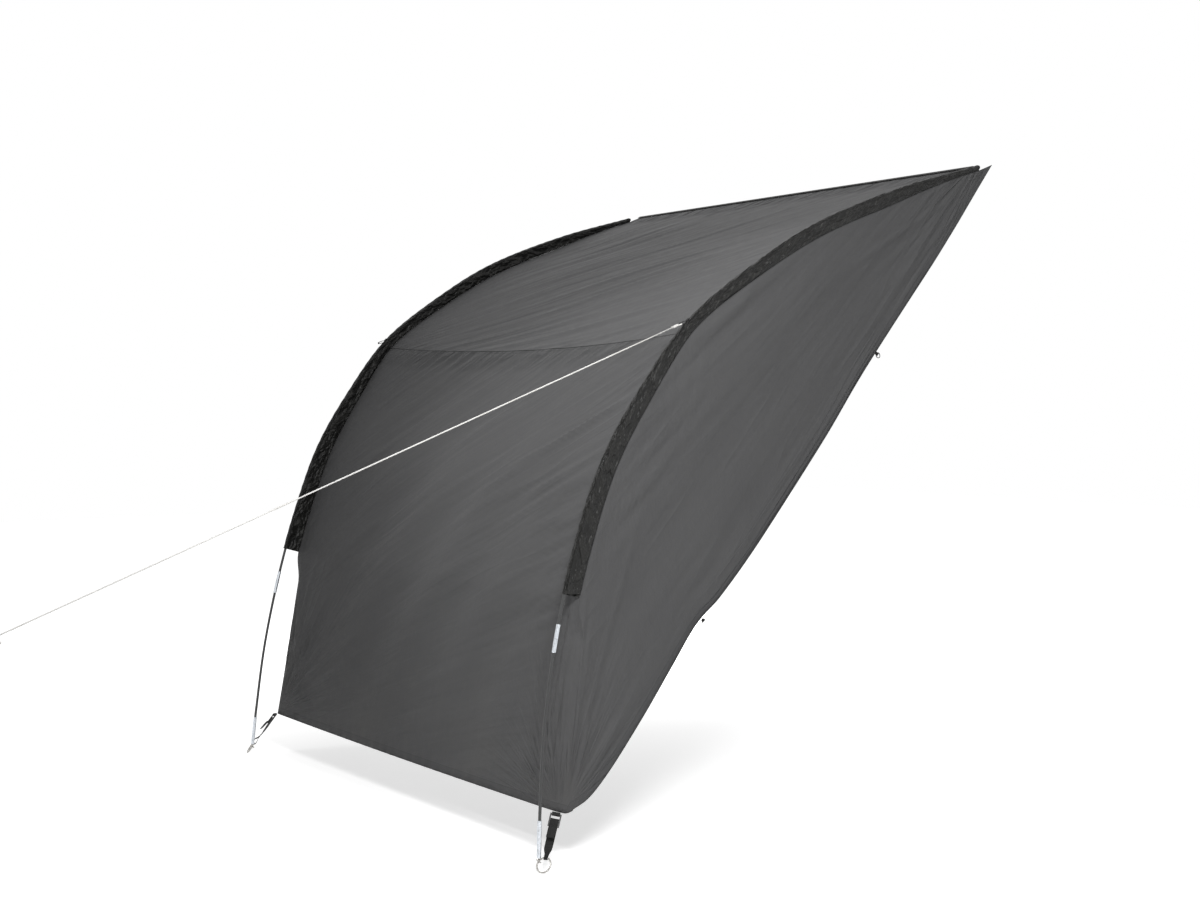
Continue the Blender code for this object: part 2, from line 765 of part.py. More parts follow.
def band(name, path, width_at, half_at, material):
    """Webbing along a path of (up the strap, out of its face) points, turning and narrowing along it."""
    rows = []
    for up, out in path:
        side = width_at(up)
        half = half_at(up)
        centre = FOOT.strap + PULL * up + FACE * out
        rows.append([centre - side * half, centre, centre + side * half])
    return sheet(name, rows, WEBBING, material)


def make_strap():
    """Webbing from the ring up through the buckle, with its sewn lap behind and its tail in front."""
    room = RING_WIRE + RING_PLAY + WEBBING / 2
    lap = WEBBING * 0.5 + 2 * TOUCH
    fold_half = STRAP_FOLD_WIDTH / 2
    under = -(RING_WIRE + RING_SETTLE + WEBBING / 2 + fold_half ** 2 / (2 * RING_RADIUS))
    hold = BUCKLE_THICK / 2 + TOUCH + WEBBING / 2
    edge = MIDDLE_BAR + BUCKLE_BAR / 2
    over = edge + 3 * TOUCH + WEBBING / 2
    bulge = hold + WEBBING_SPRING
    near = STRAP_FOLD_REACH
    meet = STRAP_FOLD_REACH + 0.010
    lean = hold + BUCKLE_BAR
    path = [
        (STRAP_LAP, lap - hold), (meet, lap - hold / 2), (near, room - lap), (near - 0.008, room),
        (0.000, room), (under * 0.75, room * 0.70), (under, room * 0.30), (under, -room * 0.30),
        (under * 0.75, -room * 0.70), (0.000, -room), (near - 0.008, -room), (near, lap - room),
        (meet, -lap - hold / 2), (STRAP_LAP, -lap - hold), (LOW_BAR, -hold),
        (MIDDLE_BAR, -hold), (edge, -bulge), (over - TOUCH, WEBBING / 2 - hold), (over, -hold / 4),
        (over, hold / 4), (over - TOUCH, hold - WEBBING / 2), (edge, bulge), (MIDDLE_BAR, hold),
        (LOW_BAR + BUCKLE_BAR, hold), (LOW_BAR, hold + BUCKLE_BAR * 0.62), (LOW_BAR - 0.010, lean),
        (LOW_BAR - 0.030, lean + 2 * TAIL_LIFT), (LOW_BAR - STRAP_TAIL + 0.012, lean + 3 * TAIL_LIFT),
    ]

    def width_at(up):
        share = smooth_step(up / STRAP_TWIST_REACH)
        side = FOOT.strap_side * (1 - share) + BUCKLE_SIDE * share
        side = side - side.dot(PULL) * PULL
        return side / np.linalg.norm(side)

    def half_at(up):
        share = smooth_step((up - near + 0.008) / 0.022)
        return fold_half + (STRAP_WIDTH / 2 - fold_half) * share

    return band("foot_strap_right", path, width_at, half_at, WEB)


def make_tab():
    """Webbing tab, folded round the buckle's top bar and sewn into the corner of the cloth."""
    hold = BUCKLE_THICK / 2 + TOUCH + WEBBING / 2
    edge = TOP_BAR - BUCKLE_BAR / 2
    under = edge - 3 * TOUCH - WEBBING / 2
    top = STRAP_LENGTH - TAB_GAP
    bulge = hold + WEBBING_SPRING
    one_side = [(top, WEBBING * 0.75), (BUCKLE_TOP + 0.0022, hold - WEBBING / 2), (BUCKLE_TOP, bulge),
                (edge, bulge), (under + TOUCH, hold - WEBBING / 2), (under, hold / 4)]
    path = one_side + [(up, -out) for up, out in reversed(one_side)]
    half = (BUCKLE_WIDTH - 2 * BUCKLE_RAIL) / 2 - 0.001
    return band("corner_tab_right", path, lambda up: BUCKLE_SIDE, lambda up: half, WEB)


# Guy line.

class Guy:
    """Places and directions of the right-hand guy line."""

    def __init__(self):
        self.along = np.array([0.0, -math.cos(GUY_SLOPE), -math.sin(GUY_SLOPE)])
        self.out = np.array([0.0, -math.sin(GUY_SLOPE), math.cos(GUY_SLOPE)])
        surface = sleeve_core() + SLEEVE_CLOTH / 2
        self.start = ARCH.at(GUY_POINT) - ARCH.inward(GUY_POINT) * surface

    def at(self, along, out=0.0, side=0.0):
        """A point by its distance along the line, out of it, and sideways."""
        return self.start + self.along * along + self.out * out + np.array([side, 0.0, 0.0])


GUY = Guy()


def make_guy_loop():
    """Webbing loop on the sleeve that the guy line is tied to."""
    half = GUY_LOOP_HALF
    tip = GUY_LOOP_REACH
    surface = -ARCH.inward(GUY_POINT)
    rise = surface.dot(GUY.along)
    hold = WEBBING * 0.85 / 2 + TOUCH

    def on_sleeve(along):
        """Distance out of the line at which the webbing lies on the sleeve."""
        return (hold - along * rise) / surface.dot(GUY.out)

    path = [((hold + half * surface.dot(GUY.out)) / rise, -half), (tip - 0.003, -half),
            (tip - 0.0009, -half * 0.7), (tip, 0.0), (tip - 0.0009, half * 0.7), (tip - 0.003, half),
            (0.006, half), (-0.002, on_sleeve(-0.002)), (-0.012, on_sleeve(-0.012))]
    rows = []
    for along, out in path:
        rows.append([GUY.at(along, out, side) for side in (-GUY_LOOP_WIDTH / 2, 0.0, GUY_LOOP_WIDTH / 2)])
    return sheet("guy_loop_right", rows, WEBBING * 0.85, WEB)


def turned(name, length, radius, place, material, sides=10):
    """A knot's rounded body: a profile turned about the cord, thick in the middle."""
    rings = 6
    profile = [(0.0, length / 2)]
    for k in range(1, rings):
        angle = math.pi * k / rings
        profile.append((radius * math.sin(angle) ** 0.8, length / 2 * math.cos(angle)))
    profile.append((0.0, -length / 2))
    mesh = bpy.data.meshes.new(name)
    mesh.from_pydata([(x, 0.0, z) for x, z in profile], [(k, k + 1) for k in range(rings)], [])
    item = add_object(name, mesh, material)
    screw = item.modifiers.new("turned", "SCREW")
    screw.steps = sides
    screw.render_steps = sides
    screw.use_merge_vertices = True
    screw.merge_threshold = 0.0001
    screw.use_normal_calculate = True
    item.matrix_world = place
    return item


def guy_place(along, out=0.0):
    """Placing matrix with its Z axis along the guy line."""
    x = Vector((1.0, 0.0, 0.0))
    z = Vector(GUY.along)
    y = z.cross(x)
    turn = Matrix((x, y, z)).transposed().to_4x4()
    return Matrix.Translation(Vector(GUY.at(along, out))) @ turn


KNOT_START = GUY_LOOP_REACH + 0.008
KNOT_END = KNOT_START + KNOT_LENGTH


def make_guy_knot():
    """Knot on the guy line, with the bight that goes through the webbing loop."""
    knot = turned("guy_knot_right", KNOT_LENGTH, KNOT_RADIUS, guy_place((KNOT_START + KNOT_END) / 2), GUY_CORD)
    side = GUY_LOOP_WIDTH / 2 + TOUCH + GUY_RADIUS
    inside = GUY_LOOP_REACH - WEBBING * 0.85 / 2 - TOUCH - GUY_RADIUS
    route = [(KNOT_START + 0.006, 0.0), (KNOT_START + 0.001, side * 0.45), (GUY_LOOP_REACH + 0.002, side * 0.92),
             (inside + 0.002, side), (inside - 0.0003, side * 0.72), (inside - 0.0006, 0.0),
             (inside - 0.0003, -side * 0.72), (inside + 0.002, -side), (GUY_LOOP_REACH + 0.002, -side * 0.92),
             (KNOT_START + 0.001, -side * 0.45)]
    route = [(a, b * 1.08 if abs(b) > side * 0.8 else b) for a, b in route]
    closed = smooth_curve([*route, route[0]], 2)[:-1]
    points = [GUY.at(a, 0.0, b) for a, b in closed]
    bight = tube("guy_bight", points, GUY_RADIUS, GUY_CORD, 8, closed=True)
    boolean(knot, as_cutter(bight), "UNION")
    return knot


def guy_route():
    """The guy line from its knot to the bend at its far end, and back to the runner."""
    start = KNOT_END + TOUCH
    bend = GUY_BEND
    far = GUY_LENGTH - bend
    points = [(start, 0.0)]
    for share in (0.25, 0.5, 0.75, 1.0):
        points.append((start + (RUNNER_AT - start) * share, 0.0))
    for share in (0.34, 0.67, 1.0):
        points.append((RUNNER_AT + (far - RUNNER_AT) * share, 0.0))
    for k in range(1, 9):
        angle = math.pi * k / 8
        points.append((far + bend * math.sin(angle), -bend + bend * math.cos(angle)))
    back = RUNNER_AT - RUNNER_THICK / 2 - TOUCH
    for share in (0.33, 0.66, 1.0):
        points.append((far + (back - far) * share, -2 * bend))
    return [GUY.at(a, b) for a, b in points]


def make_guy_line():
    """White cord, taut to the bend that goes round a ground peg, then back to the runner."""
    return tube("guy_line_right", guy_route(), GUY_RADIUS, GUY_CORD, 8)


def make_guy_stopper():
    """Stopper knot that holds the returning end of the cord at the runner."""
    place = guy_place(RUNNER_AT - RUNNER_THICK / 2 - 2 * TOUCH - STOPPER_LENGTH / 2, -2 * GUY_BEND)
    return turned("guy_stopper_right", STOPPER_LENGTH, STOPPER_RADIUS, place, GUY_CORD)


def make_guy_runner():
    """Runner: an oval plate across the two strands, with a hole for each."""
    length = 2 * GUY_BEND + 2 * (GUY_RADIUS + RUNNER_MARGIN)
    item = block("guy_runner_right", (RUNNER_WIDTH, length, RUNNER_THICK), (0, 0, 0), RUNNER_NYLON)
    edges = item.modifiers.new("oval ends", "BEVEL")
    edges.width = RUNNER_WIDTH * 0.42
    edges.segments = 4
    edges.limit_method = "WEIGHT"
    layer = item.data.attributes.new("bevel_weight_edge", "FLOAT", "EDGE")
    for edge in item.data.edges:
        a, b = (item.data.vertices[k].co for k in edge.vertices)
        layer.data[edge.index].value = 1.0 if abs(a.z - b.z) > RUNNER_THICK / 2 else 0.0
    place = guy_place(RUNNER_AT, -GUY_BEND)
    hole_radius = (GUY_RADIUS + RUNNER_CLEARANCE) / math.cos(math.pi / 12)
    for out in (-GUY_BEND, GUY_BEND):
        hole = rod("runner_hole", hole_radius, RUNNER_THICK * 3, (0, out, 0), "Z", 12)
        hole.matrix_world = place
        boolean(item, as_cutter(hole))
    item.matrix_world = place
    return item


# Tie points: a webbing tab and a small D-ring on the side panel's free edge.

def tie_frame(v):
    """Middle of the straight of the panel's edge nearest a place, its direction and the way out of it."""
    rows = [free_edge_share(k / SIDE_ROWS) for k in range(SIDE_ROWS + 1)]
    k = min(range(SIDE_ROWS), key=lambda i: abs((rows[i] + rows[i + 1]) / 2 - v))
    start, end = free_edge_point(rows[k]), free_edge_point(rows[k + 1])
    along = (end - start) / np.linalg.norm(end - start)
    out = np.array([0.0, -along[2], along[1]])
    out = out / np.linalg.norm(out)
    return (start + end) / 2, along, out, np.cross(along, out)


def make_tie(number, v):
    """Tab folded round a D-ring's bar, sewn on the hem of the free edge."""
    edge, along, out, side = tie_frame(v)
    bar = TIE_LENGTH - TIE_WIRE - WEBBING / 2 - TOUCH
    core = TIE_WIRE + TOUCH + WEBBING / 2
    path = [(2 * TOUCH, 0.0009), (bar - core, core * 0.9)]
    for k in range(7):
        angle = math.pi * k / 6
        path.append((bar + core * math.sin(angle), core * math.cos(angle)))
    path += [(bar - core, -core * 0.9), (2 * TOUCH, -0.0009)]
    rows = []
    for reach, off in path:
        centre = edge + out * reach + side * off
        rows.append([centre - along * TIE_WIDTH / 2, centre + along * TIE_WIDTH / 2])
    tab = sheet(f"tie_tab_{number}_right", rows, WEBBING * 0.8, WEB)
    half = TIE_RING_WIDTH / 2
    loop = [(-half, 0.0)]
    for k in range(9):
        angle = math.pi * k / 8
        loop.append((-half * math.cos(angle), 0.003 + (TIE_RING_DEPTH - 0.003) * math.sin(angle)))
    loop.append((half, 0.0))
    points = [edge + out * (bar + b) + along * a for a, b in loop]
    ring = tube(f"tie_ring_{number}_right", points, TIE_WIRE, NYLON, 8, closed=True)
    return [tab, ring]


def build():
    """Make every piece, and the left-hand twins of the right-hand ones."""
    make_roof()
    make_front()
    make_keder()
    right = [make_side()]
    split = GUY_POINT
    right.append(make_sleeve("sleeve_upper_right", WEB_AT_RAIL / 2, split - TOUCH / 2))
    right.append(make_sleeve("sleeve_lower_right", split + TOUCH / 2, SLEEVE_END))
    poles, cap, bore = make_pole()
    bpy.context.view_layer.update()
    boolean(cap, bore)
    right += poles
    right += [make_foot_pin(), make_foot_ring(), make_buckle(), make_strap(), make_tab()]
    right.append(make_guy_loop())
    for number, v in enumerate(TIE_PLACES, 1):
        right += make_tie(number, v)
    bpy.context.view_layer.update()
    for item in right:
        twin(item)
    # One line on the right-hand loop. The left-hand loop is there for a second one and holds none.
    make_guy_knot()
    make_guy_line()
    make_guy_stopper()
    make_guy_runner()


build()
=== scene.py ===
import math

import bpy
import numpy as np
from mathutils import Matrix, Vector


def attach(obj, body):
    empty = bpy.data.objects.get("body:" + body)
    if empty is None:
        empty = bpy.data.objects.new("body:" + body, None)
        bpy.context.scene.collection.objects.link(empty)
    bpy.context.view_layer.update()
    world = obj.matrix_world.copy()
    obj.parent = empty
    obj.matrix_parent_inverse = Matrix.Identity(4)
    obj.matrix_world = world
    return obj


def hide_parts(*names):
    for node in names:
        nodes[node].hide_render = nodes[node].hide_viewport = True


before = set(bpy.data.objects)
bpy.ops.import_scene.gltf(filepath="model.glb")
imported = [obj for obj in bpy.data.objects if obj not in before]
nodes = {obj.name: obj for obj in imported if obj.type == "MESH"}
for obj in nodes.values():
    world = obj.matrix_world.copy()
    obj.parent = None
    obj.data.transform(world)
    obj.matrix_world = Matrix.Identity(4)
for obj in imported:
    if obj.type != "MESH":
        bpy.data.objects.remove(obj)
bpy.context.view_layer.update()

# Keder
# A soft PVC cord that is drawn into the awning rail, in a black tape that is folded round it.
# The tape's two layers are sewn to the roof's top edge with two rows of stitches.

RAIL_SPAN = 2.00
KEDER_END_MARGIN = 0.045
KEDER_RADIUS = 0.00375
KEDER_FLANGE = 0.013
KEDER_SLOPE = math.radians(13)
TAPE_THICK = 0.0008
TOUCH = 0.0003


class Value:
    """A socket in a material, so that shader maths reads as sums. Each sum adds its Math node."""

    def __init__(self, look, socket):
        self.look = look
        self.socket = socket

    def maths(self, operation, *others, swap=False):
        terms = (others[0], self) if swap else (self, *others)
        return self.look.node("ShaderNodeMath", {"operation": operation}, dict(enumerate(terms)))

    def __add__(self, other):
        return self.maths("ADD", other)

    def __sub__(self, other):
        return self.maths("SUBTRACT", other)

    def __mul__(self, other):
        return self.maths("MULTIPLY", other)

    def __truediv__(self, other):
        return self.maths("DIVIDE", other)

    def __rsub__(self, other):
        return self.maths("SUBTRACT", other, swap=True)

    def __abs__(self):
        return self.maths("ABSOLUTE")

    def sine(self):
        return self.maths("SINE")

    def part(self):
        return self.maths("FRACT")

    def power(self, other):
        return self.maths("POWER", other)

    def most(self, other):
        return self.maths("MAXIMUM", other)

    def crests(self):
        """1 where the value is a half, down to 0 at 0 and 1: turns noise into sharp crests."""
        return 1 - abs(self * 2 - 1)

    def step(self, low, high, start=0.0, end=1.0):
        """Goes smoothly from start to end while the value goes from low to high."""
        return self.look.node("ShaderNodeMapRange", {"interpolation_type": "SMOOTHSTEP"},
                              {0: self, 1: low, 2: high, 3: start, 4: end})


class Nodes:
    """The nodes of a material or of the room. node() adds any node but the sums."""

    def __init__(self, tree):
        self.tree = tree

    def node(self, kind, settings=None, sockets=None, out=0):
        """A node: its settings first, then the values or links of its sockets."""
        made = self.tree.nodes.new(kind)
        for key, setting in (settings or {}).items():
            setattr(made, key, setting)
        for key, value in (sockets or {}).items():
            if isinstance(value, Value):
                self.tree.links.new(value.socket, made.inputs[key])
            else:
                made.inputs[key].default_value = value
        return Value(self, made.outputs[out])

    def seen_directly(self):
        """1 where the camera, a reflection or a view through glass meets the surface."""
        rays = self.node("ShaderNodeLightPath", out="Is Camera Ray").socket.node.outputs
        seen = Value(self, rays["Is Camera Ray"]).most(Value(self, rays["Is Glossy Ray"]))
        return seen.most(Value(self, rays["Is Transmission Ray"]))


class Look(Nodes):
    """A material for one finish, with its shader ready."""

    def __init__(self, name, roughness, metallic=0.0, sheen=0.0, shine=0.5, coat=0.0):
        self.material = bpy.data.materials.new(name)
        self.material.use_nodes = True
        super().__init__(self.material.node_tree)
        self.shader = self.tree.nodes["Principled BSDF"]
        for socket, value in (("Roughness", roughness), ("Metallic", metallic), ("Sheen Weight", sheen),
                              ("Sheen Roughness", 0.45), ("Specular IOR Level", shine),
                              ("Coat Weight", coat)):
            self.shader.inputs[socket].default_value = value

    def data(self, name, out="Fac"):
        """A value that the mesh keeps at each of its points."""
        return self.node("ShaderNodeAttribute", {"attribute_name": name}, out=out)

    def axes(self, vector):
        """The three numbers of a vector."""
        parts = self.node("ShaderNodeSeparateXYZ", None, {0: vector}).socket.node.outputs
        return [Value(self, part) for part in parts]

    def mix(self, first, second, share):
        """A colour between two, each an RGBA value or a link."""
        return self.node("ShaderNodeMix", {"data_type": "RGBA"}, {0: share, 6: first, 7: second}, out=2)

    def noise(self, vector, scale, detail=2.0, rough=0.5):
        """Noise, with one scale or with its own in each direction."""
        if isinstance(scale, tuple):
            vector = self.node("ShaderNodeVectorMath", {"operation": "MULTIPLY"}, {0: vector, 1: scale})
            scale = 1.0
        return self.node("ShaderNodeTexNoise", None,
                         {"Vector": vector, "Scale": scale, "Detail": detail, "Roughness": rough})

    def place(self):
        """Where a point is on the piece, in metres in the tent's own frame."""
        return self.node("ShaderNodeTexCoord", out="Object")

    def set(self, socket, value):
        self.tree.links.new(value.socket, self.shader.inputs[socket])

    def streaks(self, turn_scale, run_scale):
        """Noise drawn out along a rod, from its turn and run marks."""
        place = self.node("ShaderNodeCombineXYZ", None,
                          {0: self.data("turn") * turn_scale, 1: self.data("run") * run_scale, 2: 0.0})
        return self.noise(place, 1.0, 3.0)

    def weave(self, along, across, pitch):
        """The over and under of the yarns, from -1 to 1."""
        return (along * (2 * math.pi / pitch)).sine() * (across * (2 * math.pi / pitch)).sine()

    def relief(self, height_mm):
        """Bumps of a height given in millimetres."""
        self.set("Normal", self.node("ShaderNodeBump", None, {"Height": height_mm, "Distance": 0.001}))

    def stitches(self, *rows, pitch=0.0035, wide=0.0006):
        """Rows of thread, each (off, along, where): 1 on a stitch, where off is near the distance."""
        thread = None
        for off, along, where in rows:
            dash = abs((along / pitch).part() - 0.5).step(0.40, 0.30)
            row = abs(off - where).step(wide, wide * 0.4) * dash
            thread = row if thread is None else thread.most(row)
        return thread


def grid_faces(rows, columns, closed=False):
    """Four-sided faces over a grid of points, joined round when the rows are closed loops."""
    faces = []
    for i in range(rows - 1):
        for j in range(columns if closed else columns - 1):
            k = (j + 1) % columns
            faces.append((i * columns + j, i * columns + k, (i + 1) * columns + k, (i + 1) * columns + j))
    return faces


def make_piece(name, points, faces, look, marks, stand_for, slot, side=1, body="tent"):
    """A mesh object on a CAD body. Side -1 is the tent's left; marks are values kept at its points."""
    points = np.array(points, float).reshape(-1, 3) * (side, 1, 1)
    if side < 0:
        faces = [tuple(reversed(face)) for face in faces]
    mesh = bpy.data.meshes.new(name)
    mesh.from_pydata(points.tolist(), [], faces)
    for key, values in marks.items():
        kind, part = ("FLOAT_VECTOR", "vector") if np.size(values) > len(points) else ("FLOAT", "value")
        mesh.attributes.new(key, kind, "POINT").data.foreach_set(part, np.ravel(values).astype(float))
    mesh.shade_smooth()
    mesh.materials.append(look.material)
    piece = bpy.data.objects.new(name, mesh)
    bpy.context.scene.collection.objects.link(piece)
    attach(piece, body)
    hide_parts(*stand_for)
    return piece


def thicken(piece, thickness):
    """Gives cloth its real thickness, half on each side."""
    solid = piece.modifiers.new("cloth thickness", "SOLIDIFY")
    solid.thickness = thickness
    solid.offset = 0.0
    solid.use_even_offset = False
    return piece


def dress(node, look, rounded=0.0):
    """A piece that keeps its CAD shape gets its finish, and its sharp edges are softened."""
    piece = nodes[node]
    piece.data.materials.clear()
    piece.data.materials.append(look.material)
    if rounded:
        soft = piece.modifiers.new("softened edges", "BEVEL")
        soft.width = rounded
        soft.segments = 3
        soft.limit_method = "ANGLE"
        soft.angle_limit = math.radians(35)
        soft.harden_normals = True
    piece.data.shade_smooth()


def folded_strip(core, root, half, turns, flats):
    """Points (sideways, inward) of a strip folded round a core, from one root edge to the other."""
    beta = math.acos(min(core / root, 0.98))
    flat = np.linspace((half, root), (core * math.sin(beta), core * math.cos(beta)), flats, endpoint=False)
    angles = np.linspace(beta, 2 * math.pi - beta, turns)
    turned = core * np.column_stack([np.sin(angles), np.cos(angles)])
    return np.vstack([flat, turned, flat[::-1] * (-1, 1)])


pvc = Look("grey soft PVC keder", 0.45, shine=0.45)
pvc_place = pvc.place()
pvc_dust = pvc.noise(pvc_place, 60.0, 4.0)
pvc.set("Base Color", pvc.mix((0.26, 0.26, 0.26, 1), (0.34, 0.34, 0.335, 1), pvc_dust))
pvc.set("Roughness", pvc_dust.step(0.3, 0.7, 0.38, 0.55))
pvc.relief(pvc.noise(pvc_place, (72.0, 900.0, 900.0)) * 0.03)
dress("keder_cord", pvc)

tape_look = Look("black keder tape", 0.68, sheen=0.08, shine=0.3)
tape_place = tape_look.data("cloth_place", "Vector")
tape_along, tape_across, _ = tape_look.axes(tape_place)
tape_weave = tape_look.weave(tape_along, tape_across, 0.0009)
tape_thread = tape_look.stitches((abs(tape_across), tape_along, KEDER_FLANGE - 0.0025),
                                 (abs(tape_across), tape_along, KEDER_FLANGE - 0.0060))
tape_fade = tape_look.noise(tape_place, 35.0, 3.0)
tape_cloth = tape_look.mix((0.010, 0.010, 0.010, 1), (0.020, 0.020, 0.019, 1), tape_fade)
tape_look.set("Base Color", tape_look.mix(tape_cloth, (0.030, 0.030, 0.030, 1), tape_thread))
tape_look.relief(tape_weave * 0.02 + tape_thread * 0.15)

keder_half = RAIL_SPAN / 2 - KEDER_END_MARGIN
tape_out = np.array([0.0, -math.cos(KEDER_SLOPE), -math.sin(KEDER_SLOPE)])
tape_up = np.array([0.0, -math.sin(KEDER_SLOPE), math.cos(KEDER_SLOPE)])
tape_core = KEDER_RADIUS + TOUCH + TAPE_THICK / 2
up, out = folded_strip(tape_core, KEDER_FLANGE, TAPE_THICK / 2 + TOUCH, 11, 5).T
x = np.linspace(-keder_half, keder_half, 161)[:, None]
raised = up + 0.00022 * np.sin(x * 2 * math.pi / 0.067) * out / KEDER_FLANGE
tape_points = x[..., None] * (1, 0, 0) + raised[..., None] * tape_up + out[:, None] * tape_out
tape_marks = np.stack(np.broadcast_arrays(x, np.copysign(out, up), 0.0), axis=-1)
keder_tape = make_piece("keder_tape_cloth", tape_points, grid_faces(*raised.shape), tape_look,
                        {"cloth_place": tape_marks}, ["keder_tape"], "sleeve_cloth")
thicken(keder_tape, TAPE_THICK * 0.9)

# Poles
# Two fibreglass poles of five sections, bent into an arch from the rail to the ground.
# Steel ferrules join the sections, a steel tube closes the lower end and a nylon cap the upper.

RAIL_HEIGHT = 2.165
FOOT_REACH = 1.855
POLE_END_HEIGHT = 0.037
POLE_TOP_REACH = 0.023
POLE_TOP_DROP = 0.007
SIDE_BOW = 0.060
FOOT_DRAW_IN = 0.023
ARCH_SHAPE = ((0.0, 0.0), (0.205, 0.050), (0.405, 0.1147), (0.558, 0.189), (0.687, 0.2695), (0.782, 0.368),
              (0.857, 0.468), (0.911, 0.585), (0.949, 0.697), (0.978, 0.819), (0.994, 0.937), (1.0, 1.0))
POLE_RADIUS = 0.00475
POLE_CHAMFER = 0.0008
LOWEST_SECTION = 0.626
SECTION_GAP = 0.0010
FERRULE_LENGTH = 0.082
FERRULE_RADIUS = 0.0064
FERRULE_WALL = 0.0010
END_TUBE_LENGTH = 0.105
POLE_IN_END_TUBE = 0.040
TOP_CAP_LENGTH = 0.022
POLE_IN_TOP_CAP = 0.016


def ease(value):
    """From 0 to 1, smoothly, as the value goes from 0 to 1."""
    value = np.clip(value, 0.0, 1.0)
    return value * value * (3.0 - 2.0 * value)


def smooth_curve(points, steps):
    """Catmull-Rom curve through points, with a number of steps between each two."""
    points = [np.array(p, float) for p in points]
    chain = [2 * points[0] - points[1], *points, 2 * points[-1] - points[-2]]
    curve = []
    for i in range(1, len(chain) - 2):
        p0, p1, p2, p3 = chain[i - 1:i + 3]
        for k in range(steps):
            t = k / steps
            curve.append(0.5 * (2 * p1 + (p2 - p0) * t + (2 * p0 - 5 * p1 + 4 * p2 - p3) * t ** 2
                                + (3 * p1 - p0 - 3 * p2 + p3) * t ** 3))
    curve.append(points[-1])
    return np.array(curve)


def half_width(z):
    """Half the distance between the poles at a height."""
    share = -np.asarray(z) / RAIL_HEIGHT
    return RAIL_SPAN / 2 - FOOT_DRAW_IN * share - SIDE_BOW * np.sin(math.pi * np.clip(share, 0, 1))


arch_flat = smooth_curve([(-POLE_TOP_REACH - a * (FOOT_REACH - POLE_TOP_REACH),
                           -POLE_TOP_DROP - b * (RAIL_HEIGHT - POLE_END_HEIGHT - POLE_TOP_DROP))
                          for a, b in ARCH_SHAPE], 24)
arch_points = np.column_stack([half_width(arch_flat[:, 1]), arch_flat])


def run_along(path):
    """How far each point of a path is from its start, along it."""
    return np.concatenate([[0.0], np.cumsum(np.linalg.norm(np.diff(path, axis=0), axis=1))])


arch_lengths = run_along(arch_points)
ARCH_LENGTH = float(arch_lengths[-1])


def unit(vectors):
    vectors = np.asarray(vectors, float)
    return vectors / np.linalg.norm(vectors, axis=-1, keepdims=True)


def pole_at(s):
    """Points on the pole's axis at lengths from the rail's end."""
    return np.stack([np.interp(s, arch_lengths, arch_points[:, k]) for k in range(3)], axis=-1)


def pole_along(s):
    s = np.asarray(s, float)
    return unit(pole_at(np.minimum(s + 0.02, ARCH_LENGTH)) - pole_at(np.maximum(s - 0.02, 0.0)))


def pole_inward(s):
    """Square to the pole, towards the inside of the tent."""
    t = pole_along(s)
    n = np.stack([np.zeros_like(t[..., 0]), -t[..., 2], t[..., 1]], axis=-1)
    return unit(n - np.sum(n * t, axis=-1, keepdims=True) * t)


def swept(path, radii, sides, closed=False):
    """Rings of points round a path, with a radius at each of its points, without twist."""
    ahead = np.roll(path, -1, axis=0) if closed else np.vstack([path[1:], path[-1:]])
    behind = np.roll(path, 1, axis=0) if closed else np.vstack([path[:1], path[:-1]])
    across = np.array([1.0, 0.0, 0.0])
    rings = []
    for point, tangent, radius in zip(path, unit(ahead - behind), np.broadcast_to(radii, len(path))):
        across = across - across.dot(tangent) * tangent
        if np.linalg.norm(across) < 1e-6:
            across = np.cross(tangent, (0.0, 0.6, 0.8))
        across = across / np.linalg.norm(across)
        other = np.cross(tangent, across)
        for k in range(sides):
            angle = 2 * math.pi * k / sides
            rings.append(point + radius * (math.cos(angle) * across + math.sin(angle) * other))
    return np.array(rings)


def swept_faces(count, sides, closed=False, capped=True):
    """Faces over the rings of swept(), turned outwards, with its two ends closed."""
    faces = grid_faces(count, sides, closed=True)
    if closed:
        last = (count - 1) * sides
        faces += [(last + j, last + (j + 1) % sides, (j + 1) % sides, j) for j in range(sides)]
    elif capped:
        faces.append(tuple(reversed(range(sides))))
        faces.append(tuple(range((count - 1) * sides, count * sides)))
    return faces


def make_swept(name, parts, look, stand_for, slot, **where):
    """One piece of rods and wires, each (path, radii, sides, closed), with run and turn as marks."""
    points, faces, run, turn = [], [], [], []
    for path, radii, sides, closed in parts:
        start = sum(map(len, points))
        points.append(swept(path, radii, sides, closed))
        faces += [tuple(k + start for k in face) for face in swept_faces(len(path), sides, closed)]
        run.append(np.repeat(run_along(path), sides))
        turn.append(np.tile(np.arange(sides) / sides, len(path)))
    marks = {"run": np.concatenate(run), "turn": np.concatenate(turn)}
    return make_piece(name, np.vstack(points), faces, look, marks, stand_for, slot, **where)


pole_look = Look("dark pultruded fibreglass", 0.36, shine=0.5, coat=0.15)
pole_fibre = pole_look.streaks(40.0, 6.0)
pole_wear = pole_look.noise(pole_look.place(), 22.0, 5.0, 0.6)
pole_dark = pole_look.mix((0.022, 0.023, 0.024, 1), (0.046, 0.047, 0.047, 1), pole_fibre)
pole_worn = pole_look.mix(pole_dark, (0.085, 0.082, 0.076, 1), pole_wear.step(0.58, 0.78, 0.0, 0.6))
pole_look.set("Base Color", pole_worn)
pole_look.set("Roughness", pole_wear.step(0.3, 0.75, 0.28, 0.50))
pole_look.relief(pole_fibre * 0.05)


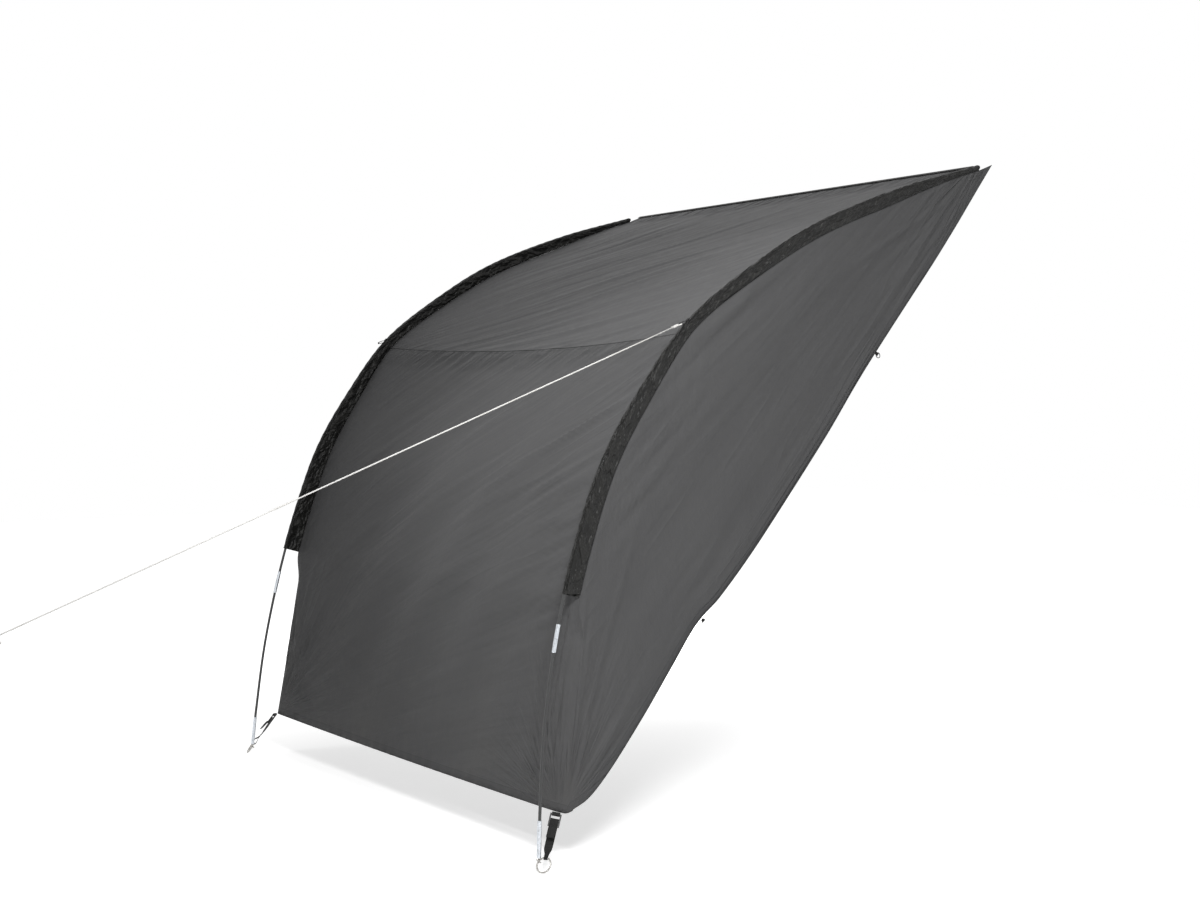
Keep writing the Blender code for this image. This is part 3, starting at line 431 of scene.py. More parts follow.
def bright_steel(name, base, dull, roughness):
    """Plated steel with fine drawn lines, handling marks and a little grime."""
    look = Look(name, roughness, metallic=1.0)
    lines = look.streaks(90.0, 30.0)
    marks = look.noise(look.place(), 130.0, 6.0, 0.65)
    look.set("Base Color", look.mix((*base, 1), (*dull, 1), marks.step(0.45, 0.72)))
    look.set("Roughness", (marks * 0.25 + lines * 0.12 + (roughness - 0.16)).most(0.12))
    look.relief(lines * 0.012 + marks * 0.015)
    return look


ferrule_look = bright_steel("bright plated ferrule steel", (0.62, 0.65, 0.69), (0.40, 0.42, 0.44), 0.28)


def moulded(name, roughness, shine, dark, light, grain_scale, detail, low, smooth, rough):
    """Moulded plastic with a fine grain, smooth where the grain is low and rough where it is high."""
    look = Look(name, roughness, shine=shine)
    grain = look.noise(look.place(), grain_scale, detail)
    look.set("Base Color", look.mix((*dark, 1), (*light, 1), grain))
    look.set("Roughness", grain.step(low, 1 - low, smooth, rough))
    look.relief(grain * 0.05)
    return look


cap_look = moulded("black moulded nylon", 0.45, 0.45, (0.008, 0.008, 0.008), (0.016, 0.016, 0.016),
                   420.0, 4.0, 0.35, 0.38, 0.55)

section_step = (ARCH_LENGTH - LOWEST_SECTION) / 4
pole_joints = [section_step * (k + 1) for k in range(4)]
pole_ends = [TOP_CAP_LENGTH - POLE_IN_TOP_CAP + TOUCH, *pole_joints,
             ARCH_LENGTH - END_TUBE_LENGTH + POLE_IN_END_TUBE]


def make_tube(name, places, mouth, dents, dent_width, sides, worn, stand_for, side):
    """A steel tube round the pole: two rings pressed in at distances from its mouth, and rounded ends."""
    pressed = sum(np.exp(-((mouth - dent) / dent_width) ** 2) for dent in dents)
    radii = FERRULE_RADIUS - 0.00028 * pressed - 0.0004 * np.exp(-mouth / 0.0007)
    radii -= worn * np.exp(-(places[-1] - places) / 0.0012)
    bore = swept(pole_at(places[[0, -1]]), FERRULE_RADIUS - FERRULE_WALL, sides)
    inner = len(places) * sides
    last = inner - sides
    faces = swept_faces(len(places), sides, capped=False)
    for j in range(sides):
        k = (j + 1) % sides
        faces += [(inner + j, j, k, inner + k), (last + j, inner + sides + j, inner + sides + k, last + k),
                  (inner + k, inner + sides + k, inner + sides + j, inner + j)]
    marks = {"run": np.repeat([*places, places[0], places[-1]], sides),
             "turn": np.tile(np.arange(sides) / sides, len(places) + 2)}
    make_piece(name, np.vstack([swept(pole_at(places), radii, sides), bore]), faces, ferrule_look, marks,
               [stand_for], "ferrule_steel", side=side)


HANDS = ((1, "right"), (-1, "left"))
for side, hand in HANDS:
    for k in range(5):
        low = pole_ends[k] + (SECTION_GAP / 2 if k else 0.0)
        high = pole_ends[k + 1] - (SECTION_GAP / 2 if k < 4 else 0.0)
        count = max(math.ceil((high - low) / 0.03), 2)
        places = np.array([low, *np.linspace(low + POLE_CHAMFER, high - POLE_CHAMFER, count), high])
        radii = np.full(len(places), POLE_RADIUS)
        radii[[0, -1]] -= 0.0007
        name = f"pole_section_{k + 1}_{hand}"
        make_swept("fibreglass_" + name, [(pole_at(places), radii, 16, False)], pole_look, [name],
                   "fibreglass", side=side)
    for k, joint in enumerate(pole_joints):
        places = np.linspace(joint - FERRULE_LENGTH / 2, joint + FERRULE_LENGTH / 2, 56)
        name = f"ferrule_{k + 1}_{hand}"
        make_tube("steel_" + name, places, FERRULE_LENGTH / 2 - abs(places - joint), (0.009, 0.014), 0.0016,
                  20, 0.0, name, side)
    dress(f"pole_top_cap_{hand}", cap_look, 0.0009)
    places = np.linspace(ARCH_LENGTH - END_TUBE_LENGTH, ARCH_LENGTH, 60)
    make_tube(f"steel_end_tube_{hand}", places, places - places[0], (0.010, 0.017), 0.0018, 24, 0.00025,
              f"pole_end_tube_{hand}", side)

# Canopy
# Coated grey polyester: a roof and a front that are sewn together between the guy points, and a
# side on each hand. The seams lie under the sleeves, and the front rounds its corners below them.

SLEEVE_END = ARCH_LENGTH - 0.757
WEB_AT_RAIL = 0.011
WEB_UPPER = 0.039
WEB_AT_GUY = 0.031
WEB_FULL = 0.056
GUY_POINT = 1.405
CORNER_HEIGHT = 0.151
CORNER_REACH = FOOT_REACH - 0.083
CORNER_SPREAD = 0.041
CORNER_ROUND = 0.055
SEAM_SAG = 0.045
HEM_SAG = 0.006
HEM_DROOP = 0.006
ROOF_SAG = 0.020
FRONT_FOLD = 0.007
FRONT_FOLDS = 5
SIDE_APEX_REACH = 0.045
FREE_EDGE_BOW = 0.078
FREE_EDGE_SHAPE = ((0.0, 0.0), (0.15, 0.46), (0.34, 0.72), (0.45, 0.97), (0.60, 1.0), (0.69, 0.80),
                   (0.74, 0.50), (0.80, 0.55), (0.86, 0.60), (0.93, 0.56), (0.975, 0.38), (1.0, 0.0))
CLOTH = 0.0008
SEAM_RIDGE = 0.010
SEAM_RIDGE_REACH = 0.12
MEAN_HALF = 0.95
FOLD_GAIN = 1.6
SIDE_FOLD_GAIN = 1.5
SIDE_APEX = (0.02, -0.02)
ROOF_PULL = (-1.35, 1.70)
FRONT_PULL = (-2.6, 3.6)
SIDE_PULL = (0.60, 0.80)


def web_width(s):
    """From the pole's axis to the seam that the sleeve is sewn to: narrow at the guy point."""
    share = np.asarray(s, float) / GUY_POINT
    upper = WEB_AT_RAIL + (WEB_UPPER - WEB_AT_RAIL) * ease(share / 0.38)
    upper = upper + (WEB_AT_GUY - WEB_UPPER) * ease((share - 0.6) / 0.4)
    lower = np.clip((np.asarray(s, float) - GUY_POINT) / (SLEEVE_END - GUY_POINT), 0, 1)
    lower = WEB_AT_GUY + (WEB_FULL - WEB_AT_GUY) * (1 - (1 - lower) ** 2.6)
    return np.where(share <= 1.0, upper, lower)


corner_z = CORNER_HEIGHT - RAIL_HEIGHT
corner = np.array([float(half_width(corner_z)), -CORNER_REACH, corner_z])
sleeve_foot = pole_at(SLEEVE_END) + pole_inward(SLEEVE_END) * WEB_FULL
SEAM_LENGTH = SLEEVE_END + float(np.linalg.norm(corner - sleeve_foot))


def seam_inward(s):
    return pole_inward(np.minimum(s, SLEEVE_END))


def seam_at(s):
    """The seam at the sleeve's root, and the rounded corner's line below it."""
    s = np.asarray(s, float)
    upper = pole_at(s) + pole_inward(s) * web_width(s)[..., None]
    share = np.clip((s - SLEEVE_END) / (SEAM_LENGTH - SLEEVE_END), 0, 1)[..., None]
    lower = sleeve_foot + (corner - sleeve_foot) * share
    point = np.where((s <= SLEEVE_END)[..., None], upper, lower)
    point[..., 0] = np.where(s <= SLEEVE_END, point[..., 0], half_width(point[..., 2]))
    return point


free_edge_curve = smooth_curve(FREE_EDGE_SHAPE, 10)


def free_edge_at(v):
    """The side's free edge, from the rail's end to the bottom corner."""
    v = np.asarray(v, float)[..., None]
    top = np.array([float(half_width(0.0)), SIDE_APEX_REACH, POLE_TOP_DROP])
    bottom = corner + np.array([0.0, CORNER_SPREAD, 0.003])
    chord = unit(bottom - top)
    out = np.array([0.0, -chord[2], chord[1]])
    bow = np.interp(v[..., 0], free_edge_curve[:, 0], free_edge_curve[:, 1])[..., None]
    point = top + (bottom - top) * v + out * FREE_EDGE_BOW * bow
    point[..., 0] = half_width(point[..., 2])
    return point


class Folds:
    """Heights of folds over a grid of places on the cloth, with random amounts that never change."""

    def __init__(self, a, b, seed):
        self.a, self.b = a, b
        self.height = np.zeros_like(a)
        self.chance = np.random.default_rng(seed)

    def some(self, least, more):
        """An amount from least up to more above it. Nothing is drawn where more is 0."""
        return least + more * self.chance.random() if more else least

    def spaced(self, first, span, count, loose):
        """Places in a row, each a little out of its even spacing."""
        for k in range(count):
            yield first + span * (k + loose * self.chance.random()) / count

    def crease(self, start, end, width, depth, sway, blunt):
        """A long soft ridge between two places, with a valley on each side: width and depth are each
        (least, more), sway bows the ridge and blunt is the share of its length that it fades over."""
        width, depth = self.some(*width), self.some(*depth)
        bow = sway * self.chance.normal() if sway else 0.0
        run = np.subtract(end, start)
        length = float(np.hypot(*run))
        along = ((self.a - start[0]) * run[0] + (self.b - start[1]) * run[1]) / length ** 2
        off = ((self.a - start[0]) * run[1] - (self.b - start[1]) * run[0]) / length
        q = (off + bow * 4 * along * (1 - along)) / width
        ends = ease(along / blunt) * ease((1 - along) / blunt)
        self.height += depth * np.exp(-q * q) * np.cos(1.9 * q) * ends

    def fan(self, centre, turns, reach, begin, *shape):
        """Creases that spread from a place."""
        for turn in self.spaced(*turns):
            reach_here, begin_here = self.some(*reach), self.some(*begin)
            self.crease(spoke(centre, turn, begin_here), spoke(centre, turn, reach_here), *shape)


def spoke(centre, turn, reach):
    return centre[0] + reach * math.cos(turn), centre[1] + reach * math.sin(turn)


def pull_lines(a, b, centre, reach):
    """Distances across and along the lines of pull that spread out from a place."""
    a, b = a - centre[0], b - centre[1]
    return np.stack([np.arctan2(b, a) * reach, np.hypot(a, b), np.zeros_like(a)], axis=-1)


def near(a, b, place, reach):
    """From 1 at a place on the cloth to 0 well away from it."""
    return np.exp(-np.hypot(a - place[0], b - place[1]) / reach)


ACROSS = 159
SIDE_ACROSS = 36
roof_share = 1 - (1 - np.linspace(0, 1, 92)) ** 1.2
front_share = np.linspace(0, 1, 106) ** 1.25
s_rows = np.concatenate([(GUY_POINT - 0.0004) * roof_share,
                         GUY_POINT + 0.0004 + (SEAM_LENGTH - GUY_POINT - 0.0004) * front_share])
ROWS = len(s_rows)
seam_rows = seam_at(s_rows)
inward_rows = seam_inward(s_rows)
below_sleeve = ease((s_rows - SLEEVE_END) / 0.05)

# The main cloth, roof and front, as a grid of places: x across it and s down it.
across_share = np.linspace(-1.0, 1.0, ACROSS)
u_columns = 0.35 * np.sin(math.pi / 2 * across_share) + 0.65 * across_share
s_grid, u_grid = np.meshgrid(s_rows, u_columns, indexing="ij")
x_grid = u_grid * seam_rows[:, None, 0]
on_roof = s_grid < GUY_POINT
v_roof = np.clip(s_grid / GUY_POINT, 0, 1)
v_front = np.clip((s_grid - GUY_POINT) / (SEAM_LENGTH - GUY_POINT), 0, 1)
slack = 1 - u_grid ** 2
from_ridge = abs(s_grid - GUY_POINT) / SEAM_RIDGE_REACH
sag = np.where(on_roof, ROOF_SAG * np.sin(math.pi * v_roof) + SEAM_SAG * v_roof ** 1.5,
               SEAM_SAG + (HEM_SAG - SEAM_SAG) * ease(v_front))
sag = sag + SEAM_RIDGE * from_ridge * np.exp(1 - from_ridge) * ease(v_roof / 0.3) * (1 - 0.5 * v_front)
broad_folds = np.cos(math.pi * FRONT_FOLDS * (u_grid + v_front - 0.5))
sag = sag + FRONT_FOLD * np.sin(math.pi * v_front) * broad_folds

folds = Folds(x_grid, s_grid, 7)
# Long folds in the roof, which spread from the far guy point up to the near end of the rail.
for turn in folds.spaced(-0.16, -1.02, 26, 0.8):
    begin = folds.some(0.50, 0.75)
    end = begin + folds.some(0.35, 0.95)
    turn_end = turn + 0.035 * folds.chance.normal()
    folds.crease(spoke(ROOF_PULL, turn, begin), spoke(ROOF_PULL, turn_end, end),
                 (0.012, 0.014), (0.0014, 0.0020), 0.012, 0.4)


def front_fold(x, s, length, *shape):
    """A fold in the front that starts at a place and runs down the line of pull from there."""
    down = unit(np.array([FRONT_PULL[0] - x, FRONT_PULL[1] - s])) * length
    folds.crease((x, s), (x + down[0], s + down[1]), *shape)


# Long folds in the front, drawn up towards the near guy point and the near sleeve.
for k in range(17):
    front_fold(folds.some(0.945, -0.03), 1.44 + 0.95 * (k + folds.some(0.0, 0.7)) / 17,
               folds.some(0.22, 0.65), (0.012, 0.010), (0.0022, 0.0022), 0.012, 0.30)
for k in range(22):
    front_fold(folds.some(-0.55, 1.35), folds.some(1.55, 0.95), folds.some(0.25, 0.50),
               (0.014, 0.014), (0.0012, 0.0018), 0.015, 0.45)
for k in range(10):
    front_fold(folds.some(-0.62, 0.30), 1.46 + 0.75 * k / 10, folds.some(0.16, 0.20),
               (0.012, 0.006), (0.0014, 0.0014), 0.006, 0.35)
# Two fans of folds that rise from the bottom corners.
folds.fan((-0.94, 2.94), (-0.14, -1.22, 13, 0.6), (0.28, 0.60), (0.04, 0.05),
          (0.011, 0.012), (0.0020, 0.0026), 0.012, 0.28)
folds.fan((0.92, 2.92), (math.pi + 0.35, 1.05, 8, 0.5), (0.20, 0.38), (0.04, 0.0),
          (0.011, 0.010), (0.0014, 0.0018), 0.01, 0.3)
# Upright folds beside the corner, below each sleeve's end.
for hand in (1, -1):
    for k in range(4):
        folds.crease((hand * (0.930 - 0.012 * k), SLEEVE_END + folds.some(-0.10, 0.10)),
                     (hand * (0.905 - 0.028 * k), SEAM_LENGTH - 0.04 - 0.12 * k * folds.chance.random()),
                     (0.010 + 0.004 * k, 0.0), (0.0026, 0.0012), 0.006, 0.25)
# Short gathers on both sides of the seam between roof and front, and at the rail.
for x in folds.spaced(-0.93, 1.86, 58, 0.7):
    front_fold(x, GUY_POINT + 0.003, folds.some(0.05, 0.12) * (1.25 - 0.5 * (x + 0.93) / 1.86),
               (0.010, 0.004), (0.0016, 0.0014), 0.0, 0.22)
for x in folds.spaced(-0.90, 1.80, 24, 0.6):
    reach = folds.some(0.05, 0.09)
    folds.crease((x, GUY_POINT - 0.003), (x + reach, GUY_POINT - reach * 0.6),
                 (0.011, 0.004), (0.0008, 0.0008), 0.0, 0.3)
for x in folds.spaced(-0.92, 1.84, 30, 0.6):
    reach = folds.some(0.05, 0.14)
    folds.crease((x, -0.03), (x + 0.03 * folds.chance.normal(), reach),
                 (0.013, 0.006), (0.0010, 0.0014), 0.0, 0.4)
# Tension puckers along the two sleeve seams.
for hand in (1, -1):
    place = 0.16
    while place < SLEEVE_END - 0.02:
        reach = folds.some(0.05, 0.11)
        lean, loose = (0.55, 0.30) if place < GUY_POINT else (0.85, 0.25)
        slope = hand * (lean + loose * folds.chance.normal())
        folds.crease((hand * 0.941, place), (hand * (0.945 - reach), place + slope * reach),
                     (0.010, 0.005), (0.0014, 0.0014), 0.0, 0.3)
        place += folds.some(0.034, 0.030)
edge_hold = ease((1 - abs(u_grid)) * MEAN_HALF / 0.016) * (0.25 + 0.75 * ease(s_grid / 0.05))
seam_hold = 1 - 0.65 * np.exp(-((s_grid - GUY_POINT) / 0.010) ** 2)
hem_pull = 0.0011 * np.cos(x_grid * 2 * math.pi / 0.062 + 1.3 * np.sin(x_grid * 9))
hem_pull = hem_pull * ease((v_front - 0.955) / 0.045)
main = np.zeros((ROWS, ACROSS, 3))
main[..., 0] = x_grid
main[..., 1:] = seam_rows[:, None, 1:]
inwards = (sag - hem_pull) * slack - FOLD_GAIN * folds.height * edge_hold * seam_hold
main += inward_rows[:, None, :] * inwards[..., None]
main[..., 2] -= HEM_DROOP * v_front ** 3 * slack

# The roof's edge lies under the keder tape, and dips to the seams beyond the tape's ends.
rail_share = ease((abs(x_grid[0]) - keder_half) / (seam_rows[0, 0] - keder_half))[:, None]
sewn = KEDER_FLANGE - 0.005
under_tape = (0, -sewn, -math.tan(KEDER_SLOPE) * sewn - 2 * TAPE_THICK - CLOTH)
rail_line = x_grid[0][:, None] * (1, 0, 0) + under_tape
rail_line[:, 2] += 0.0004 * np.cos(x_grid[0] * 2 * math.pi / 0.075)
rail_seam = x_grid[0][:, None] * (1, 0, 0) + (0, *seam_rows[0, 1:])
rail_line = rail_line + (rail_seam - rail_line) * rail_share
main += (rail_line - main[0])[None] * (1 - ease(s_rows / 0.06))[:, None, None]

# How the fine wrinkles lie on the main cloth, and how strong they are.
main_flow = np.where(on_roof[..., None], pull_lines(x_grid, s_grid, ROOF_PULL, 1.4),
                     pull_lines(x_grid, s_grid, FRONT_PULL, 3.0))
near_edge = np.exp(-(1 - u_grid) * MEAN_HALF / 0.28)
far_edge = np.exp(-(1 + u_grid) * MEAN_HALF / 0.16)
roof_wrinkled = 0.45 + 0.5 * near(x_grid, s_grid, (-0.94, 1.40), 0.45) + 0.3 * near_edge
front_wrinkled = (0.30 + 1.10 * near_edge * (1 - ease((s_grid - 2.1) / 0.5)) + 0.35 * far_edge
                  + 0.75 * near(x_grid, s_grid, (-0.94, 2.95), 0.40)
                  + 1.10 * np.exp(-(s_grid - GUY_POINT) / 0.10) * (1 - 0.5 * ease((x_grid + 0.2) / 1.0)))
main_wrinkled = np.where(on_roof, roof_wrinkled, front_wrinkled)
main_wrinkled *= 1 - below_sleeve[:, None] * np.exp(-((1 - abs(u_grid)) * MEAN_HALF / 0.05) ** 2)
# The fans of wrinkles that spread from the bottom corners and, in the roof, from the guy points.
fan_x = np.where(x_grid < 0, -0.94, 0.94)
from_guy = s_grid < 2.1
fan_s = np.where(from_guy, 1.42, 2.95)
from_fan = np.hypot(x_grid - fan_x, s_grid - fan_s)
main_fan = np.stack([np.arctan2(abs(s_grid - fan_s), abs(x_grid - fan_x)) * 0.6, from_fan,
                     3.0 + fan_x + from_guy], axis=-1)
fan_reach = np.where(x_grid < 0, 0.60, 0.36) * np.where(from_guy, 0.62, 1.0)
fan_strength = np.where(from_guy, 0.5 * on_roof * ease((GUY_POINT - s_grid) / 0.03), 1.0)
main_fanned = np.exp(-(from_fan / fan_reach) ** 2) * ease(from_fan / 0.16) * fan_strength


def side_cloth(seed):
    """One side, as a grid from the seam to the free edge, with its flat distances from the seam."""
    rows = seam_rows.copy()
    free = free_edge_at(1 - (1 - s_rows / SEAM_LENGTH) ** 1.3)
    run = free - rows
    length = np.linalg.norm(run, axis=1)
    w = np.concatenate([[0.0, 0.001], 0.001 + 0.999 * np.linspace(0.0, 1.0, SIDE_ACROSS - 1)[1:] ** 1.12])
    grid = rows[:, None, :] + run[:, None, :] * w[None, :, None]
    y, z = grid[..., 1], grid[..., 2]
    pull = np.array(SIDE_PULL)
    folds = Folds(y, z, seed)
    # Long folds that rise from the sleeve's seam towards the rail's end.
    for s in folds.spaced(0.50, 1.85, 24, 0.7):
        foot = seam_at(np.array([s]))[0, 1:]
        up = unit(pull - foot)
        foot = foot + up * folds.some(0.03, 0.08)
        folds.crease(foot, foot + up * folds.some(0.20, 0.60), (0.012, 0.012), (0.0016, 0.0022),
                     0.012, 0.30)
    folds.fan(SIDE_APEX, (math.pi + 0.50, 0.55, 9, 0.5), (0.40, 0.55), (0.06, 0.08),
              (0.011, 0.009), (0.0018, 0.0022), 0.0, 0.3)
    # Long folds beside the free edge, and a fan that rises from the bottom corner.
    free_line = free_edge_at(np.linspace(0, 1, 40))[:, 1:]
    for k in range(11):
        first = int(folds.some(3, 26))
        last = min(first + 5 + int(folds.some(0, 9)), 38)
        off = np.array([-0.80, 0.45]) * folds.some(0.035, 0.10)
        folds.crease(free_line[first] + off, free_line[last] + off, (0.012, 0.010), (0.0016, 0.0018),
                     0.01, 0.35)
    folds.fan((corner[1] + 0.02, corner[2] + 0.01), (0.80, 0.80, 12, 0.5), (0.30, 0.70), (0.05, 0.05),
              (0.010, 0.012), (0.0018, 0.0022), 0.012, 0.28)
    # Short puckers at the sleeve's seam.
    place = 0.30
    while place < SLEEVE_END - 0.03:
        foot = seam_at(np.array([place]))[0, 1:]
        up = unit(pull - foot + (0.0, 0.25 * folds.chance.normal()))
        folds.crease(foot, foot + up * folds.some(0.06, 0.10), (0.010, 0.005), (0.0014, 0.0014), 0.0, 0.3)
        place += folds.some(0.034, 0.030)
    out = w[None, :] * length[:, None]
    left_over = (1 - w)[None, :] * length[:, None]
    # The cloth inside the wide hem of the free edge is slack, and stands in a long soft fold beside it.
    down = s_rows[:, None] / SEAM_LENGTH
    band = 0.052 + 0.008 * np.sin(down * 17.0)
    beside_hem = ease((down - 0.30) / 0.15) * (1 - ease((down - 0.95) / 0.05))
    push = folds.height + 0.0042 * np.exp(-((left_over - band) / 0.013) ** 2) * beside_hem
    hold = ease(out / 0.014) * ease((left_over + 0.012) / 0.030) * ease((length[:, None] - 0.05) / 0.20)
    belly = np.sin(math.pi * w)[None, :] * ease((length - 0.09) / 0.3)[:, None]
    wave = 0.003 * belly * (1 + np.cos(2 * math.pi * 2 * w))[None, :]
    grid[..., 0] += SIDE_FOLD_GAIN * push * hold - wave - 0.004 * belly
    flow = pull_lines(y, z, pull, 1.7)
    wrinkled = (0.42 + 0.58 * np.exp(-out / 0.16) + 0.55 * near(y, z, SIDE_APEX, 0.40)
                + 0.35 * np.exp(-left_over / 0.10))
    wrinkled *= 1 - below_sleeve[:, None] * np.exp(-(out / 0.05) ** 2)
    to_corner = np.hypot(y - corner[1], z - corner[2])
    to_apex = np.hypot(y - SIDE_APEX[0], z - SIDE_APEX[1])
    to_nearest = np.minimum(to_corner, to_apex)
    fan = np.where((to_corner < to_apex)[..., None], pull_lines(y, z, (corner[1] + 0.01, corner[2]), 0.6),
                   pull_lines(-y, -z, SIDE_APEX, 0.6))
    fanned = np.maximum(np.exp(-(to_corner / 0.36) ** 2), np.exp(-(to_apex / 0.34) ** 2))
    fanned *= ease(to_nearest / 0.22)
    # Beside the free edge the wrinkles run along it.
    clear = to_nearest - 0.62
    beside = (left_over < 0.13) & (clear > 0)
    fan[beside] = np.stack(np.broadcast_arrays(left_over * 2.4, down * 2.0, 9.0), axis=-1)[beside]
    fanned = np.where(beside, 0.9 * np.exp(-(left_over / 0.060) ** 2) * ease(clear / 0.25), fanned)
    return {"grid": grid, "out": out, "left_over": left_over, "flow": flow, "wrinkled": wrinkled,
            "fan": fan, "fanned": fanned}


sides = {1: side_cloth(11), -1: side_cloth(23)}


def rounded_corner(rows, off, hand, first):
    """Below the sleeve the cloth goes round the corner in a curve instead of a seam."""
    radius = CORNER_ROUND * ease((s_rows - SLEEVE_END - 0.01) / 0.10)
    into = seam_inward(s_rows)
    ahead = np.array([-hand, 0.0, 0.0])
    seams = seam_rows[:, None, :] * (hand, 1, 1)
    d = np.clip(1 - off / np.maximum(radius, 1e-6)[:, None], 0, 1)
    t = 0.5 - 0.5 * (1 - d) if first else 0.5 + 0.5 * (1 - d)
    along_main = (1 - t) ** 2 * radius[:, None]
    along_side = t ** 2 * radius[:, None]
    curve = seams + ahead * along_main[..., None] + into[:, None, :] * along_side[..., None]
    straight = seams + (ahead if first else into[:, None, :]) * off[..., None]
    keep = ease(off / np.maximum(radius, 1e-6)[:, None])[..., None]
    turned = (off < radius[:, None]) & (radius[:, None] > 0.001)
    rows[turned] = (curve + (rows - straight) * keep)[turned]


canopy_points = main.copy()
for hand in (1, -1):
    sides[hand]["grid"] = sides[hand]["grid"] * (hand, 1, 1)
    rounded_corner(canopy_points, (1 - hand * u_grid) * seam_rows[:, None, 0], hand, True)
    rounded_corner(sides[hand]["grid"], sides[hand]["out"], hand, False)


def whole(left, middle, right):
    """One grid over the left side, the main cloth and the right side, without their shared columns."""
    return np.concatenate([left[:, :0:-1], middle, right[:, 1:]], axis=1)


def whole_of(key, middle, left_shift=0.0):
    return whole(sides[-1][key] + left_shift, middle, sides[1][key])


canopy_grid = whole_of("grid", canopy_points)
half_rows = seam_rows[:, None, 0]
flat_x = whole(-half_rows - sides[-1]["out"], x_grid, half_rows + sides[1]["out"])
flat_s = np.repeat(s_rows[:, None], flat_x.shape[1], axis=1)
ones = np.ones((ROWS, ACROSS))
on_main = whole(0 * sides[-1]["out"], ones, 0 * sides[1]["out"])
seam_distance = abs(abs(flat_x) - half_rows) + np.maximum(s_rows - SLEEVE_END, 0)[:, None] * 4
canopy_marks = {
    "cloth_place": np.stack([flat_x, flat_s, on_main], axis=-1),
    "fold_flow": whole_of("flow", main_flow, (7, 0, 0)),
    "fan": whole_of("fan", main_fan), "fanned": whole_of("fanned", main_fanned),
    "wrinkled": np.clip(whole_of("wrinkled", main_wrinkled), 0, 1.5), "to_free": whole_of("left_over", ones),
    "to_sleeve": seam_distance, "to_cross": np.where(on_main > 0, flat_s - GUY_POINT, 1.0),
    "to_hem": SEAM_LENGTH - flat_s, "to_rail": flat_s,
}

cloth = Look("grey coated polyester", 0.60, sheen=0.02, shine=0.07)
cloth_place, fold_flow, fan = (cloth.data(name, "Vector") for name in ("cloth_place", "fold_flow", "fan"))
cloth_x, cloth_s, _ = cloth.axes(cloth_place)
wrinkled, fanned, to_free, to_sleeve, to_cross, to_hem, to_rail = (
    cloth.data(name)
    for name in ("wrinkled", "fanned", "to_free", "to_sleeve", "to_cross", "to_hem", "to_rail"))
weave = cloth.weave(cloth_x, cloth_s, 0.0011)
crumple = cloth.noise(cloth_place, 24.0, 4.0, 0.55)
broad = cloth.noise(fold_flow, (13.0, 1.2, 1.0))
crisp = cloth.noise(fold_flow, (17.0, 1.5, 1.0)).crests()
fine = cloth.noise(fold_flow, (46.0, 4.5, 1.0), 3.0, 0.55)
smooth_places = cloth.noise(cloth_place, 2.6).step(0.36, 0.60, 0.25, 1.0)
gathered = (to_cross.step(0.105, 0.0) * to_cross.step(-0.002, 0.002)).most(to_rail.step(0.11, 0.01))
gathers = cloth.noise(fold_flow, (15.0, 2.6, 1.0)).crests()
spread = cloth.noise(fan, (15.0, 1.3, 1.0)).crests()
thread = cloth.stitches(
    (to_free, cloth_s, 0.024), (to_free, cloth_s, 0.003), (to_hem, cloth_x, 0.024), (to_hem, cloth_x, 0.003),
    (to_sleeve, cloth_s, 0.0045), (to_cross, cloth_x, 0.0025), (to_cross, cloth_x, 0.0095),
    (to_rail, cloth_x, 0.0065))
double = (to_free.step(0.0275, 0.0262).most(to_hem.step(0.0275, 0.0262))
          .most(abs(to_cross - 0.006).step(0.0075, 0.0065)).most(to_rail.step(0.0135, 0.0120)))
# A thin line along the seam between roof and front and along the sleeves' seams: painted shade in the colour,
# where the overlapping flap's edge would cast it, and a shallow groove in the relief.
seam_groove_and_shade = abs(to_cross).step(0.0040, 0.0012).most(to_sleeve.step(0.0040, 0.0006))
dust = cloth.noise(cloth_place, 3.2, 6.0, 0.6)
low_dust = to_hem.step(0.55, 0.0) * dust.step(0.35, 0.75)
cloth_colour = cloth.mix((0.092, 0.092, 0.094, 1), (0.106, 0.106, 0.107, 1), dust)
# Dust near the hem, the double layers, painted shade along the seams and the thread, in that order.
for colour, share in (((0.125, 0.122, 0.116, 1), low_dust * 0.30),
                      ((0.080, 0.080, 0.082, 1), double * 0.45),
                      ((0.022, 0.022, 0.022, 1), seam_groove_and_shade * 0.80),
                      ((0.050, 0.050, 0.051, 1), thread * 0.85)):
    cloth_colour = cloth.mix(cloth_colour, colour, share)
cloth.set("Base Color", cloth_colour)
cloth.set("Roughness", (crumple * 0.16 + weave * 0.02 + 0.46).most(0.3))
wrinkles = (crisp.power(3.5) * 3.6 + fine * 2.6) * wrinkled * smooth_places
cloth.relief(weave * 0.025 + crumple * 1.6 + broad * 9.0 + wrinkles
                   + gathers.power(3.0) * gathered * 15.0 + spread.power(4.0) * fanned * 5.0
                   + double * 0.60 - thread * 0.18 - seam_groove_and_shade * 0.25)

canopy = make_piece("canopy_cloth", canopy_grid, grid_faces(*flat_x.shape), cloth, canopy_marks,
                    ["roof_panel", "front_panel", "side_panel_right", "side_panel_left"], "canopy_cloth")
thicken(canopy, CLOTH)

# Sleeves
# A folded strip of black cloth that each pole runs through, sewn to the canopy's seam. It is in
# two lengths that meet at the guy point, and its lower end is hemmed above the bare pole.

SLEEVE_CLOTH = 0.0007
SLEEVE_CORE = 0.0079
SEAM_GAP = 0.0016
SLANT_CUT = 0.011
STRIP_TURNS = 15
STRIP_FLATS = 9

